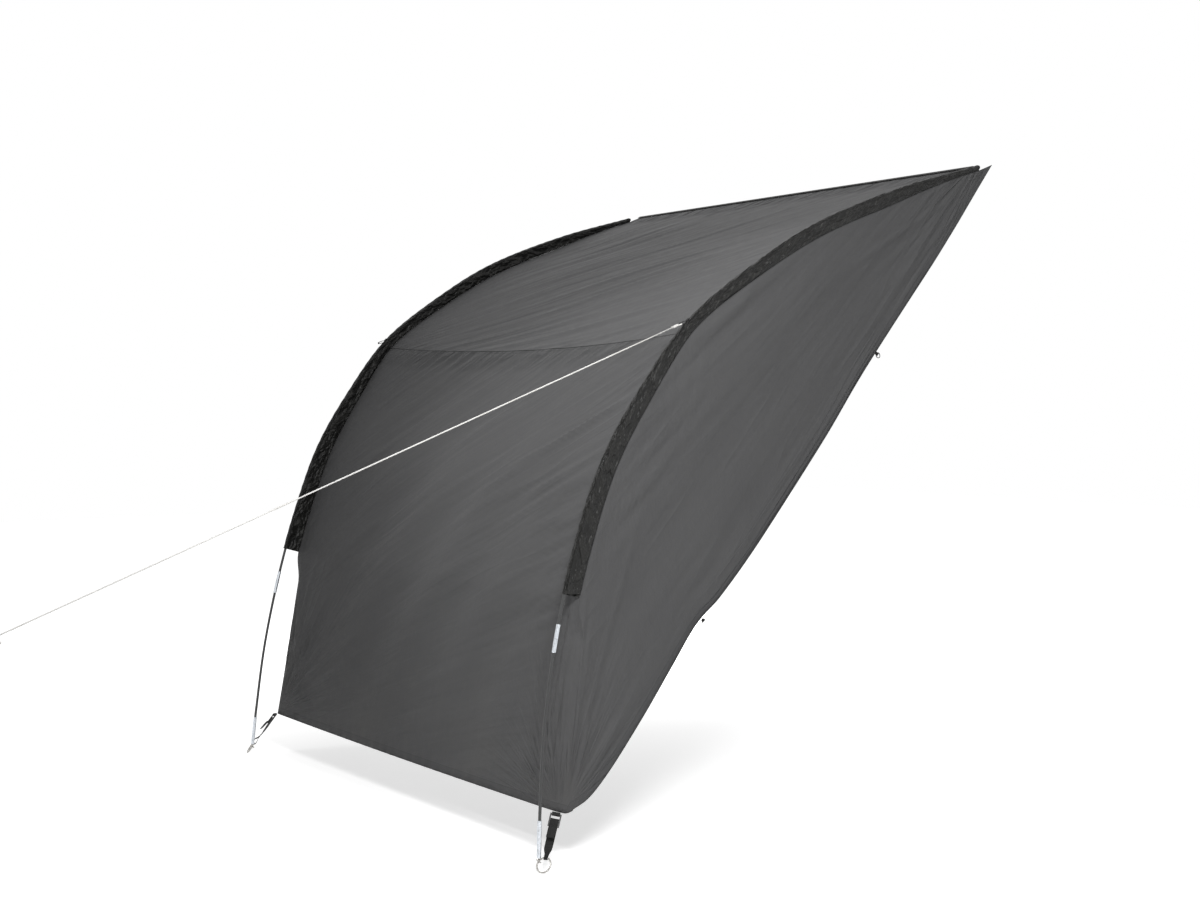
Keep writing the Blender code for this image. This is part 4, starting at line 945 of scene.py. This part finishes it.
sleeve_look = Look("black sleeve cloth", 0.46, sheen=0.02, shine=0.22)
sleeve_place = sleeve_look.data("cloth_place", "Vector")
sleeve_along, sleeve_depth, _ = sleeve_look.axes(sleeve_place)
sleeve_root = sleeve_look.data("to_root")
sleeve_end = sleeve_look.data("to_end")
sleeve_weave = sleeve_look.weave(sleeve_along, sleeve_depth, 0.0012)
sleeve_slant = sleeve_look.node("ShaderNodeVectorRotate", {"rotation_type": "Z_AXIS"},
                                {"Vector": sleeve_place, "Angle": math.radians(52)})
sleeve_rucks = sleeve_look.noise(sleeve_slant, (6.0, 22.0, 1.0)).crests()
sleeve_fine = sleeve_look.noise(sleeve_slant, (30.0, 150.0, 1.0), 3.0)
sleeve_crumple = sleeve_look.noise(sleeve_place, 19.0)
sleeve_thread = sleeve_look.stitches((sleeve_root, sleeve_along, 0.003), (sleeve_root, sleeve_along, 0.008),
                                     (sleeve_end, sleeve_depth, 0.016), (sleeve_end, sleeve_depth, 0.003))
sleeve_double = sleeve_root.step(0.0105, 0.0095).most(sleeve_end.step(0.0190, 0.0180))
sleeve_black = sleeve_look.mix((0.0080, 0.0080, 0.0076, 1), (0.0170, 0.0168, 0.0158, 1),
                               sleeve_crumple.step(0.35, 0.65))
# Lighter grey streaks that follow the slanting rucks: a painted sheen in the sleeve's colour.
sleeve_painted_sheen = sleeve_fine.step(0.52, 0.78, 0.0, 0.5)
sleeve_black = sleeve_look.mix(sleeve_black, (0.040, 0.040, 0.037, 1), sleeve_painted_sheen)
sleeve_look.set("Base Color", sleeve_look.mix(sleeve_black, (0.038, 0.038, 0.037, 1), sleeve_thread * 0.8))
sleeve_look.set("Roughness", (sleeve_crumple * 0.24 + 0.34).most(0.3))
sleeve_ridges = sleeve_rucks.power(2.5) * sleeve_crumple.step(0.38, 0.62, 0.2, 1.0)
sleeve_look.relief(sleeve_weave * 0.03 + sleeve_ridges * 13.0 + sleeve_fine * 0.8 + sleeve_crumple * 6.0
                   + sleeve_double * 0.4 - sleeve_thread * 0.2)


def make_sleeve(name, start, end, side, seed):
    """One length of sleeve, with the pole's bulge along its outer edge and a rucked web."""
    count = round((end - start) / 0.0080)
    columns = 2 * STRIP_FLATS + STRIP_TURNS
    is_lower = end > GUY_POINT + 0.1
    lengths = np.linspace(start, end, count)
    lengths = np.array([start, start + 0.0012, *lengths[1:-1], end - 0.0012, end])
    centres, inwards, alongs = pole_at(lengths), pole_inward(lengths), pole_along(lengths)
    roots = web_width(lengths) - SEAM_GAP * 0.4
    strips = np.array([folded_strip(SLEEVE_CORE, root, SLEEVE_CLOTH / 2 + 0.0004, STRIP_TURNS, STRIP_FLATS)
                       for root in roots])
    x, n = strips[..., 0], strips[..., 1]
    s = np.repeat(lengths[:, None], columns, axis=1)
    face = np.where(np.arange(columns) < columns / 2, 1.0, -1.0)[None, :]
    share = np.clip((n - SLEEVE_CORE * 0.5) / np.maximum(roots[:, None] - SLEEVE_CORE * 0.5, 0.004), 0, 1)
    free = np.sin(math.pi * np.minimum(share * 0.9 + 0.05, 1.0))
    # Slanting rucks, closest in the upper length near the rail and just below the guy point.
    rucks = Folds(s, n, seed)
    place = start - 0.02
    while place < end + 0.02:
        close = 1.40 < place < 1.80 or place < 0.55
        deep = 1.2 if close else 0.8
        rucks.crease((place, 0.0), (place + rucks.some(0.035, 0.030), 0.06), (0.0055, 0.004),
                     (0.0011 * deep, 0.0013 * deep), 0.0, 0.2)
        place += rucks.some(0.018, 0.022) * (0.80 if close else 1.25)
    drift = 0.0014 * np.sin(s * 19 + 1.7 * np.sin(s * 6.1) + seed)
    bulge = 0.0013 * (0.6 + 0.4 * np.sin(s * 23 + face))
    x = x + (drift + rucks.height + face * bulge) * free
    outer = 0.0005 * np.sin(2 * math.pi * s / 0.045 + 2 * np.sin(s * 9)) * (1 - share)
    # The lower end is cut on a slant on the side that is seen, so that the lining behind it shows.
    pulled = is_lower * SLANT_CUT * share * (face > 0) * np.maximum((s - (end - 0.06)) / 0.06, 0.0)
    centre = centres[:, None, :] - alongs[:, None, :] * pulled[..., None]
    sideways = np.cross(alongs, inwards)
    points = centre + sideways[:, None, :] * x[..., None] + inwards[:, None, :] * (n - outer)[..., None]
    marks = {"cloth_place": np.stack([s, np.tile(np.arange(columns) * 0.009, (len(lengths), 1)),
                                      np.full_like(s, side)], axis=-1),
             "to_root": roots[:, None] - n, "to_end": end - s if is_lower else np.ones_like(s)}
    sleeve = make_piece("cloth_" + name, points, grid_faces(*s.shape), sleeve_look, marks, [name],
                        "sleeve_cloth", side=side)
    thicken(sleeve, SLEEVE_CLOTH)


for side, hand in HANDS:
    make_sleeve(f"sleeve_upper_{hand}", WEB_AT_RAIL / 2, GUY_POINT - TOUCH / 2, side, 31 + side)
    make_sleeve(f"sleeve_lower_{hand}", GUY_POINT + TOUCH / 2, SLEEVE_END, side, 41 + side)

# Ground rings
# A steel pin stands in each end tube, with an eye round a welded ring that a peg goes through.
# Both are zinc plated, a little dull, with a weld bead where the ring was closed.

RING_RADIUS = 0.022
RING_WIRE = 0.00275
RING_LEAN = math.radians(35)
RING_TURN = math.radians(45)
EYE_DROP = 0.0095
EYE_ANGLE = math.radians(22)
EYE_WIRE = 0.0020
EYE_RADIUS = 0.0068
PIN_RADIUS = 0.0030
PIN_PLUG_RADIUS = 0.0049
PIN_LENGTH = 0.055
STRAP_ANGLE = math.radians(42)

level = np.array([0.6, 0.8, 0.0])
straight_up = np.array([0.0, 0.0, 1.0])
ring_long = level * math.cos(RING_LEAN) + straight_up * math.sin(RING_LEAN)
ring_short = (level * math.sin(RING_LEAN) - straight_up * math.cos(RING_LEAN)) * math.cos(RING_TURN)
ring_short = ring_short - np.cross(straight_up, level) * math.sin(RING_TURN)
tube_end = pole_at(ARCH_LENGTH)
tube_down = pole_along(ARCH_LENGTH)


def ring_out(angle):
    """Direction from the ring's middle, measured from its upper side."""
    return math.sin(angle) * ring_long - math.cos(angle) * ring_short


def ring_wire_way(angle):
    return math.cos(angle) * ring_long + math.sin(angle) * ring_short


def round_path(centre, a, b, radius, count):
    angles = np.linspace(0, 2 * math.pi, count, endpoint=False)[:, None]
    return centre + radius * (np.cos(angles) * a + np.sin(angles) * b)


foot_steel = bright_steel("zinc plated foot steel", (0.40, 0.39, 0.37), (0.22, 0.21, 0.20), 0.36)
eye_centre = tube_end + tube_down * EYE_DROP
ring_centre = eye_centre - RING_RADIUS * ring_out(-EYE_ANGLE)
ring_angles = np.linspace(0, 2 * math.pi, 72, endpoint=False)
ring_path = round_path(ring_centre, ring_long, ring_short, RING_RADIUS, 72)
weld = abs((ring_angles - 2.6 + math.pi) % (2 * math.pi) - math.pi) * RING_RADIUS
ring_radii = (RING_WIRE - 0.0002 + 0.00035 * np.exp(-(weld / 0.0016) ** 2)
              - 0.0003 * np.exp(-((weld - 0.0035) / 0.0012) ** 2))
eye_way = ring_wire_way(-EYE_ANGLE)
eye_a = unit(tube_down - tube_down.dot(eye_way) * eye_way)
eye_path = round_path(eye_centre, eye_a, np.cross(eye_way, eye_a), EYE_RADIUS, 40)
pin_top = tube_end - tube_down * (PIN_LENGTH - EYE_DROP)
pin_bend = tube_end + tube_down * 0.0006
shank_path = smooth_curve([pin_top, tube_end - tube_down * 0.02, pin_bend,
                           eye_centre - eye_a * EYE_RADIUS], 5)
plug_run = np.array([0.0, 0.0006, 0.0012, 0.02, PIN_LENGTH - EYE_DROP - 0.0032,
                     PIN_LENGTH - EYE_DROP - 0.0020])
plug_path = pin_top + tube_down * plug_run[:, None]
plug_radii = PIN_PLUG_RADIUS * np.array([0.80, 0.95, 1.0, 1.0, 1.0, 0.90])
for side, hand in HANDS:
    make_swept(f"welded_ring_{hand}", [(ring_path, ring_radii, 16, True)], foot_steel,
               [f"foot_ring_{hand}"], "foot_steel", side=side, body=f"foot_ring_{hand}")
    pin_parts = [(eye_path, EYE_WIRE, 12, True), (shank_path, PIN_RADIUS - 0.0001, 14, False),
                 (plug_path, plug_radii, 16, False)]
    make_swept(f"eye_pin_{hand}", pin_parts, foot_steel, [f"foot_pin_{hand}"], "foot_steel", side=side)

# Corner straps
# Black ribbed webbing from the ring up to a moulded ladder-lock buckle. A tab round the buckle's
# top bar is sewn into the cloth's corner, and the strap's tail hangs in front of the buckle.

WEBBING = 0.0014
STRAP_WIDTH = 0.025
STRAP_TAIL = 0.052
STRAP_LAP = 0.040
STRAP_FOLD_WIDTH = 0.012
STRAP_FOLD_REACH = 0.014
STRAP_TWIST_REACH = 0.085
RING_PLAY = 0.0030
RING_SETTLE = 0.0014
WEBBING_SPRING = 0.0003
TAIL_LIFT = 0.0010
BUCKLE_WIDTH = 0.034
BUCKLE_HEIGHT = 0.040
BUCKLE_THICK = 0.0040
BUCKLE_BAR = 0.0050
BUCKLE_RAIL = 0.0040
BUCKLE_DROP = 0.006
TAB_GAP = 0.0016
TAB_INSET = 0.022

web_look = Look("black ribbed webbing", 0.66, sheen=0.03, shine=0.16)
web_place = web_look.data("cloth_place", "Vector")
web_run, web_across, web_up = web_look.axes(web_place)
web_ribs = abs(((web_run + abs(web_across) * 0.35) * (math.pi / 0.0017)).sine())
web_yarns = abs((web_across * (math.pi / 0.0012)).sine())
web_edge = web_look.data("to_edge").step(0.0016, 0.0004)
web_fluff = web_look.noise(web_place, 420.0, 3.0)
web_thread = web_look.stitches((web_up, web_across, 0.020), (web_up, web_across, 0.027),
                               (web_up, web_across, 0.037), pitch=0.0028, wide=0.0005)
web_black = web_look.mix((0.0070, 0.0070, 0.0070, 1), (0.0180, 0.0180, 0.0175, 1), web_fluff)
web_black = web_look.mix(web_black, (0.028, 0.028, 0.027, 1), web_ribs * web_yarns * 0.45)
web_look.set("Base Color", web_look.mix(web_black, (0.034, 0.034, 0.034, 1), web_thread * 0.8))
web_look.set("Roughness", web_fluff * 0.2 + 0.54)
web_look.relief(web_ribs * 0.16 + web_yarns * 0.07 + web_fluff * 0.06 - web_edge * 0.12 + web_thread * 0.10)

strap_foot = ring_centre + RING_RADIUS * ring_out(STRAP_ANGLE)
strap_pull = corner - np.array([TAB_INSET, 0.0, 0.0]) - strap_foot
STRAP_LENGTH = float(np.linalg.norm(strap_pull))
strap_pull = strap_pull / STRAP_LENGTH
buckle_side = unit(level - level.dot(strap_pull) * strap_pull)
buckle_face = np.cross(buckle_side, strap_pull)
BUCKLE_TOP = STRAP_LENGTH - BUCKLE_DROP
TOP_BAR = BUCKLE_TOP - BUCKLE_BAR / 2
MIDDLE_BAR = BUCKLE_TOP - BUCKLE_HEIGHT * 0.5
LOW_BAR = BUCKLE_TOP - BUCKLE_HEIGHT + BUCKLE_BAR / 2


def webbing_strip(name, centres, ways, halves, thick, ups, side, stand_for):
    """Woven webbing along a line of middles, each with its own width's direction and half width."""
    spread = np.array([-1.0, -0.96, -0.8, -0.4, 0.0, 0.4, 0.8, 0.96, 1.0])
    ways = np.broadcast_to(ways, centres.shape)
    across = np.broadcast_to(halves, len(centres))[:, None] * spread
    points = centres[:, None, :] + ways[:, None, :] * across[..., None]
    run, ups = (np.repeat(np.broadcast_to(value, len(centres))[:, None], len(spread), axis=1)
                for value in (run_along(centres), ups))
    marks = {"cloth_place": np.stack([run, across, ups], axis=-1),
             "to_edge": abs(across[:, :1]) - abs(across)}
    piece = make_piece(name, points, grid_faces(len(centres), len(spread)), web_look, marks, [stand_for],
                       "webbing", side=side)
    thicken(piece, thick)


room = RING_WIRE + RING_PLAY + WEBBING / 2
lap = WEBBING * 0.5 + 2 * TOUCH
fold_half = STRAP_FOLD_WIDTH / 2
under = -(RING_WIRE + RING_SETTLE + WEBBING / 2 + fold_half ** 2 / (2 * RING_RADIUS))
hold = BUCKLE_THICK / 2 + TOUCH + WEBBING / 2
bar_edge = MIDDLE_BAR + BUCKLE_BAR / 2
over = bar_edge + 3 * TOUCH + WEBBING / 2
fold_near = STRAP_FOLD_REACH
fold_meet = STRAP_FOLD_REACH + 0.010
tail_out = hold + BUCKLE_BAR
strap_line = smooth_curve([
    (STRAP_LAP, lap - hold), (fold_meet, lap - hold / 2), (fold_near, room - lap), (fold_near - 0.008, room),
    (0.000, room), (under * 0.75, room * 0.70), (under, room * 0.30), (under, -room * 0.30),
    (under * 0.75, -room * 0.70), (0.000, -room), (fold_near - 0.008, -room), (fold_near, lap - room),
    (fold_meet, -lap - hold / 2), (STRAP_LAP, -lap - hold), (LOW_BAR - 0.012, -hold - 0.0004),
    (LOW_BAR, -hold), (MIDDLE_BAR, -hold), (bar_edge, -hold - WEBBING_SPRING),
    (over - TOUCH, WEBBING / 2 - hold), (over, -hold / 4), (over, hold / 4),
    (over - TOUCH, hold - WEBBING / 2), (bar_edge, hold + WEBBING_SPRING), (MIDDLE_BAR, hold),
    (LOW_BAR + BUCKLE_BAR, hold), (LOW_BAR, hold + BUCKLE_BAR * 0.62), (LOW_BAR - 0.010, tail_out),
    (LOW_BAR - 0.030, tail_out + 2 * TAIL_LIFT),
    (LOW_BAR - STRAP_TAIL + 0.012, tail_out + 3 * TAIL_LIFT)], 4)
strap_turn = ease(strap_line[:, 0] / STRAP_TWIST_REACH)[:, None]
strap_ways = ring_wire_way(STRAP_ANGLE) * (1 - strap_turn) + buckle_side * strap_turn
strap_ways = unit(strap_ways - (strap_ways @ strap_pull)[:, None] * strap_pull)
strap_widening = ease((strap_line[:, 0] - fold_near + 0.008) / 0.022)
strap_halves = fold_half + (STRAP_WIDTH / 2 - fold_half) * strap_widening
strap_middles = strap_foot + strap_line[:, :1] * strap_pull + strap_line[:, 1:] * buckle_face
tab_edge = TOP_BAR - BUCKLE_BAR / 2
tab_under = tab_edge - 3 * TOUCH - WEBBING / 2
tab_half_line = [(STRAP_LENGTH - TAB_GAP, WEBBING * 0.75), (BUCKLE_TOP + 0.0022, hold - WEBBING / 2),
                 (BUCKLE_TOP, hold + WEBBING_SPRING), (tab_edge, hold + WEBBING_SPRING),
                 (tab_under + TOUCH, hold - WEBBING / 2), (tab_under, hold / 4)]
tab_line = smooth_curve(tab_half_line + [(up, -out) for up, out in reversed(tab_half_line)], 3)
tab_middles = strap_foot + tab_line[:, :1] * strap_pull + tab_line[:, 1:] * buckle_face
for side, hand in HANDS:
    webbing_strip(f"woven_strap_{hand}", strap_middles, strap_ways, strap_halves, WEBBING * 0.9,
                  strap_line[:, 0], side, f"foot_strap_{hand}")
    webbing_strip(f"woven_tab_{hand}", tab_middles, buckle_side, (BUCKLE_WIDTH - 2 * BUCKLE_RAIL) / 2 - 0.001,
                  WEBBING * 0.9, 1.0, side, f"corner_tab_{hand}")
    dress(f"strap_buckle_{hand}", cap_look, 0.0006)

# Guy line
# White braided cord, knotted to the webbing loop on the right sleeve and pulled taut. It bends back
# where a peg would hold it, to a white runner with a stopper knot behind it. The left loop is empty.

GUY_SLOPE = math.radians(21)
GUY_LENGTH = 2.262
GUY_RADIUS = 0.0020
GUY_BEND = 0.0085
GUY_LOOP_WIDTH = 0.010
GUY_LOOP_REACH = 0.027
GUY_LOOP_HALF = 0.0032
KNOT_LENGTH = 0.024
RUNNER_AT = 2.215
RUNNER_THICK = 0.0040
STOPPER_LENGTH = 0.011

guy_along = np.array([0.0, -math.cos(GUY_SLOPE), -math.sin(GUY_SLOPE)])
guy_out = np.array([0.0, -math.sin(GUY_SLOPE), math.cos(GUY_SLOPE)])
outward = -pole_inward(GUY_POINT)
guy_start = pole_at(GUY_POINT) + outward * (SLEEVE_CORE + SLEEVE_CLOTH / 2 + 0.0002)


def guy_at(along, out=0.0, side=0.0):
    """Points by their distance along the line, out of it, and sideways."""
    along, out, side = np.broadcast_arrays(along, out, side)
    return guy_start + np.stack([along, out, side], axis=-1) @ np.array([guy_along, guy_out, (1, 0, 0)])


guy_look = Look("white braided cord", 0.70, sheen=0.15, shine=0.35)
guy_run = guy_look.data("run")
guy_turn = guy_look.data("turn")
guy_left = abs(((guy_turn * 4.0 + guy_run / 0.0085) * math.pi).sine())
guy_right = abs(((guy_turn * 4.0 - guy_run / 0.0085) * math.pi).sine())
guy_fluff = guy_look.noise(guy_look.place(), 600.0, 3.0)
guy_dirt = guy_look.noise(guy_look.place(), 9.0, 4.0)
guy_white = guy_look.mix((0.62, 0.60, 0.57, 1), (0.86, 0.85, 0.83, 1), guy_left.most(guy_right))
guy_white = guy_look.mix(guy_white, (0.60, 0.57, 0.52, 1), guy_dirt.step(0.52, 0.75, 0.0, 0.35))
guy_look.set("Base Color", guy_white)
guy_look.set("Roughness", guy_fluff * 0.2 + 0.60)
guy_look.relief(guy_left.most(guy_right) * 0.28 + guy_fluff * 0.08)

runner_look = moulded("white moulded nylon", 0.40, 0.5, (0.68, 0.68, 0.66), (0.80, 0.80, 0.78),
                      300.0, 3.0, 0.3, 0.34, 0.5)


def wraps(start, end, turns, radius_start, radius_end, out, lean):
    """A line that winds round the cord, as the turns of a knot do."""
    share = np.linspace(0, 1, int(turns * 14) + 1)
    angle = 2 * math.pi * turns * share
    radius = radius_start + (radius_end - radius_start) * share
    return guy_at(start + (end - start) * share + lean * np.sin(angle), out + radius * np.sin(angle),
                  radius * np.cos(angle))


knot_start = GUY_LOOP_REACH + 0.008
knot_end = knot_start + KNOT_LENGTH
line_start = knot_end + TOUCH
bend_at = GUY_LENGTH - GUY_BEND
bend_angles = np.linspace(0, math.pi, 11)[1:-1]
back_at = RUNNER_AT - RUNNER_THICK / 2 - TOUCH
route_along = np.concatenate([np.linspace(line_start, bend_at, 10), bend_at + GUY_BEND * np.sin(bend_angles),
                              np.linspace(bend_at, back_at, 7)])
route_out = np.concatenate([np.zeros(10), -GUY_BEND + GUY_BEND * np.cos(bend_angles),
                            np.full(7, -2 * GUY_BEND)])
guy_route = guy_at(route_along, route_out)

bight_side = GUY_LOOP_WIDTH / 2 + TOUCH + GUY_RADIUS
bight_in = GUY_LOOP_REACH - WEBBING * 0.85 / 2 - TOUCH - GUY_RADIUS
bight_half = [(knot_start + 0.006, 0.0012), (knot_start + 0.001, bight_side * 0.50),
              (GUY_LOOP_REACH + 0.002, bight_side * 0.99), (bight_in + 0.002, bight_side * 1.08),
              (bight_in - 0.0003, bight_side * 0.72), (bight_in - 0.0006, 0.0)]
bight_route = bight_half + [(along, -out) for along, out in reversed(bight_half[:-1])]
bight_line = smooth_curve(bight_route, 5)
bight_path = guy_at(bight_line[:, 0], 0.0, bight_line[:, 1])
core_path = guy_at(np.linspace(knot_start + 0.001, knot_end, 9))
turns_path = wraps(knot_start + 0.0028, knot_end - 0.0035, 3.6, 0.0031, 0.0023, 0.0, 0.0006)
tail_path = guy_at(np.array([knot_end - 0.0035, knot_end - 0.001, knot_end + 0.001, knot_end + 0.004]),
                   np.array([0.0018, 0.0028, 0.0034, 0.0036]), np.array([0.0014, 0.0022, 0.0030, 0.0034]))
stopper_core = guy_at(np.linspace(back_at, back_at - STOPPER_LENGTH, 7), -2 * GUY_BEND)
stopper_turns = wraps(back_at - 0.0018, back_at - STOPPER_LENGTH + 0.0016, 2.4, 0.0024, 0.0024,
                      -2 * GUY_BEND, 0.0005)

surface_rise = outward.dot(guy_along)
surface_out = outward.dot(guy_out)
loop_hold = WEBBING * 0.85 / 2 + TOUCH
loop_half = GUY_LOOP_HALF
loop_line = smooth_curve([
    ((loop_hold + loop_half * surface_out) / surface_rise, -loop_half), (GUY_LOOP_REACH - 0.003, -loop_half),
    (GUY_LOOP_REACH - 0.0009, -loop_half * 0.7), (GUY_LOOP_REACH, 0.0),
    (GUY_LOOP_REACH - 0.0009, loop_half * 0.7), (GUY_LOOP_REACH - 0.003, loop_half), (0.006, loop_half),
    (-0.002, (loop_hold + 0.002 * surface_rise) / surface_out),
    (-0.012, (loop_hold + 0.012 * surface_rise) / surface_out)], 4)
for side, hand in HANDS:
    webbing_strip(f"woven_guy_loop_{hand}", guy_at(loop_line[:, 0], loop_line[:, 1]), (1.0, 0.0, 0.0),
                  GUY_LOOP_WIDTH / 2, WEBBING * 0.85, 1.0, side, f"guy_loop_{hand}")
knot_parts = [(core_path, GUY_RADIUS * 1.05, 12, False), (bight_path, GUY_RADIUS * 0.98, 12, False),
              (turns_path, GUY_RADIUS * 0.78, 10, False), (tail_path, GUY_RADIUS * 0.8, 10, False)]
knot = make_swept("tied_knot", knot_parts, guy_look, ["guy_knot_right"], "guy_cord")
stopper_parts = [(stopper_core, GUY_RADIUS, 12, False), (stopper_turns, GUY_RADIUS * 0.9, 10, False)]
stopper = make_swept("stopper_knot", stopper_parts, guy_look, ["guy_stopper_right"], "guy_cord",
                     body="guy_runner_right")
guy_cord = make_swept("guy_cord", [(guy_route, GUY_RADIUS, 12, False)], guy_look, ["guy_line_right"],
                      "guy_cord")
dress("guy_runner_right", runner_look, 0.0007)
float(run_along(guy_route)[-1])

# Tie points
# Two small black rings on each side's free edge, each held in a fold of webbing that is sewn to
# the hem, so that the edge can be tied back.

TIE_PLACES = (0.315, 0.73)
TIE_ROWS = 26
TIE_WIDTH = 0.010
TIE_LENGTH = 0.012
TIE_RING_WIDTH = 0.016
TIE_RING_DEPTH = 0.014
TIE_WIRE = 0.0013

tie_rows = 1 - (1 - np.arange(TIE_ROWS + 1) / TIE_ROWS) ** 1.3
for number, v in enumerate(TIE_PLACES, 1):
    k = int(np.argmin(abs((tie_rows[:-1] + tie_rows[1:]) / 2 - v)))
    first, last = free_edge_at(tie_rows[k]), free_edge_at(tie_rows[k + 1])
    tie_along = unit(last - first)
    tie_out = unit(np.array([0.0, -tie_along[2], tie_along[1]]))
    tie_side = np.cross(tie_along, tie_out)
    tie_edge = (first + last) / 2
    bar = TIE_LENGTH - TIE_WIRE - WEBBING / 2 - TOUCH
    core = TIE_WIRE + TOUCH + WEBBING / 2
    turn = np.linspace(0, math.pi, 15)
    fold = np.concatenate([[(2 * TOUCH, 0.0009), (bar - core, core * 0.9)],
                           np.column_stack([bar + core * np.sin(turn), core * np.cos(turn)]),
                           [(bar - core, -core * 0.9), (2 * TOUCH, -0.0009)]])
    tab_path = tie_edge + fold[:, :1] * tie_out + fold[:, 1:] * tie_side
    half = TIE_RING_WIDTH / 2
    turn = np.linspace(0, math.pi, 21)
    straight = np.column_stack([np.linspace(half, -half, 9), np.zeros(9)])
    bow = np.column_stack([-half * np.cos(turn), 0.003 + (TIE_RING_DEPTH - 0.003) * np.sin(turn)])
    loop = np.vstack([straight[1:], bow, straight[:1]])
    ring_line = tie_edge + (bar + loop[:, 1:]) * tie_out + loop[:, :1] * tie_along
    for side, hand in HANDS:
        webbing_strip(f"woven_tie_tab_{number}_{hand}", tab_path, tie_along, TIE_WIDTH / 2, WEBBING * 0.8,
                      1.0, side, f"tie_tab_{number}_{hand}")
        make_swept(f"d_ring_{number}_{hand}", [(ring_line, TIE_WIRE, 12, True)], cap_look,
                   [f"tie_ring_{number}_{hand}"], "black_nylon", side=side, body=f"tie_ring_{number}_{hand}")

# Floor, light and camera
# A plain pale floor that keeps the tent's shadow and turns white with distance, soft studio
# lamps, and a camera at the photograph's viewing angle.

floor_look = Look("pale studio floor", 0.9, shine=0.1)
floor_grain = floor_look.noise(floor_look.place(), 2.0, 3.0)
floor_look.set("Base Color", floor_look.mix((0.86, 0.86, 0.86, 1), (0.88, 0.88, 0.88, 1), floor_grain))
floor_away = floor_look.node("ShaderNodeVectorMath", {"operation": "DISTANCE"},
                             {0: floor_look.place(), 1: (0.1, -0.9, 0.0)}, out=1)
floor_look.set("Emission Color", floor_away.step(1.0, 2.7, 0.48, 1.0) * floor_look.seen_directly())
floor_look.shader.inputs["Emission Strength"].default_value = 1.0
floor_mesh = bpy.data.meshes.new("studio_floor")
floor_mesh.from_pydata([(-14, -14, 0), (14, -14, 0), (14, 14, 0), (-14, 14, 0)], [], [(0, 1, 2, 3)])
floor_mesh.materials.append(floor_look.material)
floor = bpy.data.objects.new("studio_floor", floor_mesh)
floor.location = (0, 0, -RAIL_HEIGHT - 0.0006)
bpy.context.scene.collection.objects.link(floor)

world = bpy.data.worlds.new("studio")
bpy.context.scene.world = world
world.use_nodes = True
room = Nodes(world.node_tree)
soft = room.node("ShaderNodeBackground", None, {"Color": (1, 1, 1, 1), "Strength": 0.13})
white = room.node("ShaderNodeBackground", None, {"Color": (1, 1, 1, 1), "Strength": 1.0})
backdrop = room.node("ShaderNodeMixShader", None, {0: room.seen_directly(), 1: soft, 2: white})
room.tree.links.new(backdrop.socket, room.tree.nodes["World Output"].inputs["Surface"])


def add_lamp(name, kind, place, aim, power, size, angle=0.0):
    """A soft lamp that points at a place on the tent: an AREA panel, or a SPOT with a wide soft edge."""
    light = bpy.data.lights.new(name, kind)
    light.energy = power
    if kind == "SPOT":
        light.shadow_soft_size = size / 2
        light.spot_size = math.radians(angle)
        light.spot_blend = 0.85
    else:
        light.size = size
    lamp = bpy.data.objects.new(name, light)
    lamp.location = place
    lamp.rotation_euler = (Vector(aim) - Vector(place)).to_track_quat("-Z", "Y").to_euler()
    lamp.visible_camera = False
    bpy.context.scene.collection.objects.link(lamp)


add_lamp("front_lamp", "SPOT", (-1.6, -4.6, 1.6), (0.66, -1.6, -0.9), 290, 0.5, 33)
add_lamp("side_lamp", "AREA", (3.2, -2.8, 0.7), (0.9, -0.8, -0.8), 104, 0.8)
add_lamp("top_lamp", "AREA", (-1.7, -1.3, 2.3), (-0.5, -1.0, -0.4), 18, 1.0)
add_lamp("back_lamp", "AREA", (-3.4, 2.6, -0.5), (0.0, -0.9, -1.0), 190, 1.5)

camera_data = bpy.data.cameras.new("photo_camera")
camera_data.sensor_fit = "HORIZONTAL"
camera_data.sensor_width = 36.0
camera_data.lens = 36.0 * 1631.5 / 1200
camera = bpy.data.objects.new("photo_camera", camera_data)
camera.location = (4.812, -4.456, -0.833)
camera.rotation_euler = Vector((-0.8057, 0.5916, -0.0276)).to_track_quat("-Z", "Y").to_euler()
bpy.context.scene.collection.objects.link(camera)
bpy.context.scene.camera = camera
bpy.context.scene.view_settings.view_transform = "Standard"
